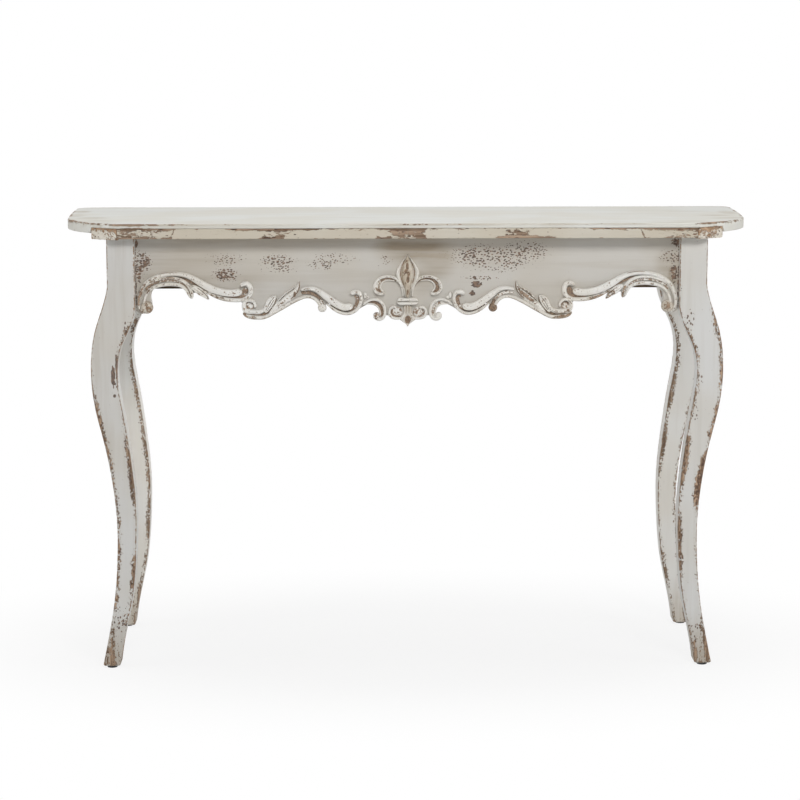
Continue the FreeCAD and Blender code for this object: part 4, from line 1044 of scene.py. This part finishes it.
def fleur_foot():
    flutes = [(-1, 0.3), (-0.72, 0.7), (-0.42, 0.3), (0, 0.95), (0.42, 0.3), (0.72, 0.7), (1, 0.3)]
    lozenge = [(-1, 0.25), (-0.7, 0.9), (-0.34, 0.55), (0, 0.5), (0.34, 0.55), (0.7, 0.9), (1, 0.25)]
    return strand(Shell(), FLEUR_FOOT, 8.5, flutes, lozenge, (0.36, 0.56), across=37, step=0.9, stain=0.44,
                  wear=0.2, pits=[(0.3, 13, 8.2, 11.5, 2.4)],
                  wash=[(-0.95, 1.0), (-0.74, 0.2), (-0.4, 0.6), (0.4, 0.6), (0.74, 0.2), (0.95, 0.9)],
                  grooves=[(-0.94, 0.3, 2.6, 0.62, 1.0), (0.94, 0.3, 2.6, 0.62, 1.0)])


def fleur_band():
    ridges = [(-1, 0.2), (-0.6, 1), (-0.22, 0.75), (-0.05, 0.3), (0.15, 0.75), (0.52, 0.95), (1, 0.2)]
    return strand(Shell(), CROSS_BAND, 9.0, ridges, grooves=[(0.0, 0.4, 3.2, 0.0, 0.62)], across=29)


def carving():
    for make in (outer_scroll, arch_leaves, middle_scroll, leaf_pair, inner_scroll, c_scroll, bead_drops,
                 fleur_side_petal, fleur_curl):
        def one(hand):
            return make(lambda right, left: right if hand > 0 else left)
        both(one, make.__name__, "carving_paint", CARVED_PAINT)
    for make in (fleur_petal, fleur_foot, fleur_band):
        make().piece(make.__name__, "carving_paint", CARVED_PAINT)


# The whole table

def dress(node, material):
    """Paint on the CAD mesh of a node that has no finer mesh."""
    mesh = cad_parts[node].data
    mesh.materials.clear()
    mesh.materials.append(material)


def build():
    top_board().piece("top_board", "top_paint", TOP_PAINT)
    strips()
    side_aprons()
    for end, material in (("front", LEG_PAINT), ("back", LIT_BACK_LEG_PAINT)):
        both(lambda hand: leg(end, hand), "leg_" + end, "frame_paint", material)
        for hand in ("left", "right"):
            dress("brace_%s_%s" % (end, hand), BRACE_WOOD)
            dress("glide_%s_%s" % (end, hand), GLIDE)
    carving()
    dress("front_apron", APRON_PAINT)
    dress("back_rail", BACK_WOOD)
    dress("glide_nails", STEEL)
    dress("top_screws", STEEL)


# Camera, floor and light, in metres
# The camera is fitted to the photograph: place, and angles in degrees
CAMERA_PLACE = (-0.0864, -4.40344, 1.15662)
CAMERA_YAW, CAMERA_PITCH, CAMERA_ROLL = -0.982, 8.988, -0.055
FOCAL_LENGTH, SENSOR_WIDTH = 109.31, 36.0
FLOOR_HALF, FLOOR_GREY, WORLD_LIGHT = 9, 0.86, 0.14
# Place, aim, size, and power in watts
LAMPS = {
    "key": ((0.5, -2.95, 2.55), (0, 0, 0.55), (2.2, 0.9), 64),
    "overhead": ((-0.2, 0.3, 3.4), (0, 0, 0.5), (3.0, 2.0), 39),
    "left": ((-3.4, -0.95, 0.8), (0, 0, 0.4), (1.8, 1.6), 28),
    "right": ((3.4, -0.95, 0.8), (0, 0, 0.4), (1.8, 1.6), 30),
    "back": ((0.3, 3.2, 0.5), (0, 0, 0.5), (2.4, 0.5), 20),
}


def camera():
    data = bpy.data.cameras.new("camera")
    data.sensor_fit = "HORIZONTAL"
    data.sensor_width = SENSOR_WIDTH
    data.lens = FOCAL_LENGTH
    data.clip_end = 50.0
    cam = add_object("camera", data)
    turn = Matrix.Rotation(math.radians(CAMERA_YAW), 4, "Z")
    turn @= Matrix.Rotation(math.radians(90 - CAMERA_PITCH), 4, "X")
    turn @= Matrix.Rotation(math.radians(CAMERA_ROLL), 4, "Z")
    cam.matrix_world = Matrix.Translation(CAMERA_PLACE) @ turn
    bpy.context.scene.camera = cam


def lamp(name, place, aim, size, power):
    data = bpy.data.lights.new(name, "AREA")
    data.shape = "RECTANGLE"
    data.size, data.size_y = size
    data.energy = power
    obj = add_object(name, data)
    obj.location = place
    obj.rotation_euler = (Vector(aim) - Vector(place)).to_track_quat("-Z", "Y").to_euler()
    obj.visible_camera = False


def add_floor():
    """White from afar, plain pale floor with the table's shadow under and round the legs."""
    mesh = bpy.data.meshes.new("floor")
    square = [(-1, -1), (1, -1), (1, 1), (-1, 1)]
    mesh.from_pydata([(FLOOR_HALF * x, FLOOR_HALF * y, 0) for x, y in square], [], [(0, 1, 2, 3)])
    floor = add_object("floor", mesh)
    n = Nodes(bpy.data.materials.new("floor"))
    n.shader.inputs["Base Color"].default_value = (FLOOR_GREY, FLOOR_GREY, FLOOR_GREY, 1)
    n.shader.inputs["Roughness"].default_value = 0.9
    n.shader.inputs["Specular IOR Level"].default_value = 0.0
    glow = n.new("ShaderNodeEmission").outputs[0]
    far = n.length(n.vector("MULTIPLY", n.place, (0.9, 1.5, 1)))
    share = n.math("MULTIPLY", n.background_ray(), n.ramp(far, 0.35, 1.0, 0.82, 1.0))
    seen = n.blend(share, n.shader.outputs[0], glow)
    # From below the floor is clear, so that the underside shows
    below = n.new("ShaderNodeNewGeometry").outputs["Backfacing"]
    clear = n.new("ShaderNodeBsdfTransparent").outputs[0]
    n.put(n.blend(below, seen, clear), n.tree.nodes["Material Output"].inputs["Surface"])
    mesh.materials.append(n.owner)


def add_world():
    """Soft light from all sides, seen as white."""
    world = bpy.data.worlds.new("studio")
    bpy.context.scene.world = world
    n = Nodes(world)
    soft, white = [n.new("ShaderNodeBackground", {"Color": (1, 1, 1, 1), "Strength": strength}).outputs[0]
                   for strength in (WORLD_LIGHT, 1.0)]
    seen = n.blend(n.background_ray(), soft, white)
    n.put(seen, n.tree.nodes["World Output"].inputs["Surface"])


def studio():
    add_floor()
    add_world()
    for name, settings in LAMPS.items():
        lamp(name, *settings)
    bpy.context.scene.view_settings.view_transform = "Standard"


build()
camera()
studio()
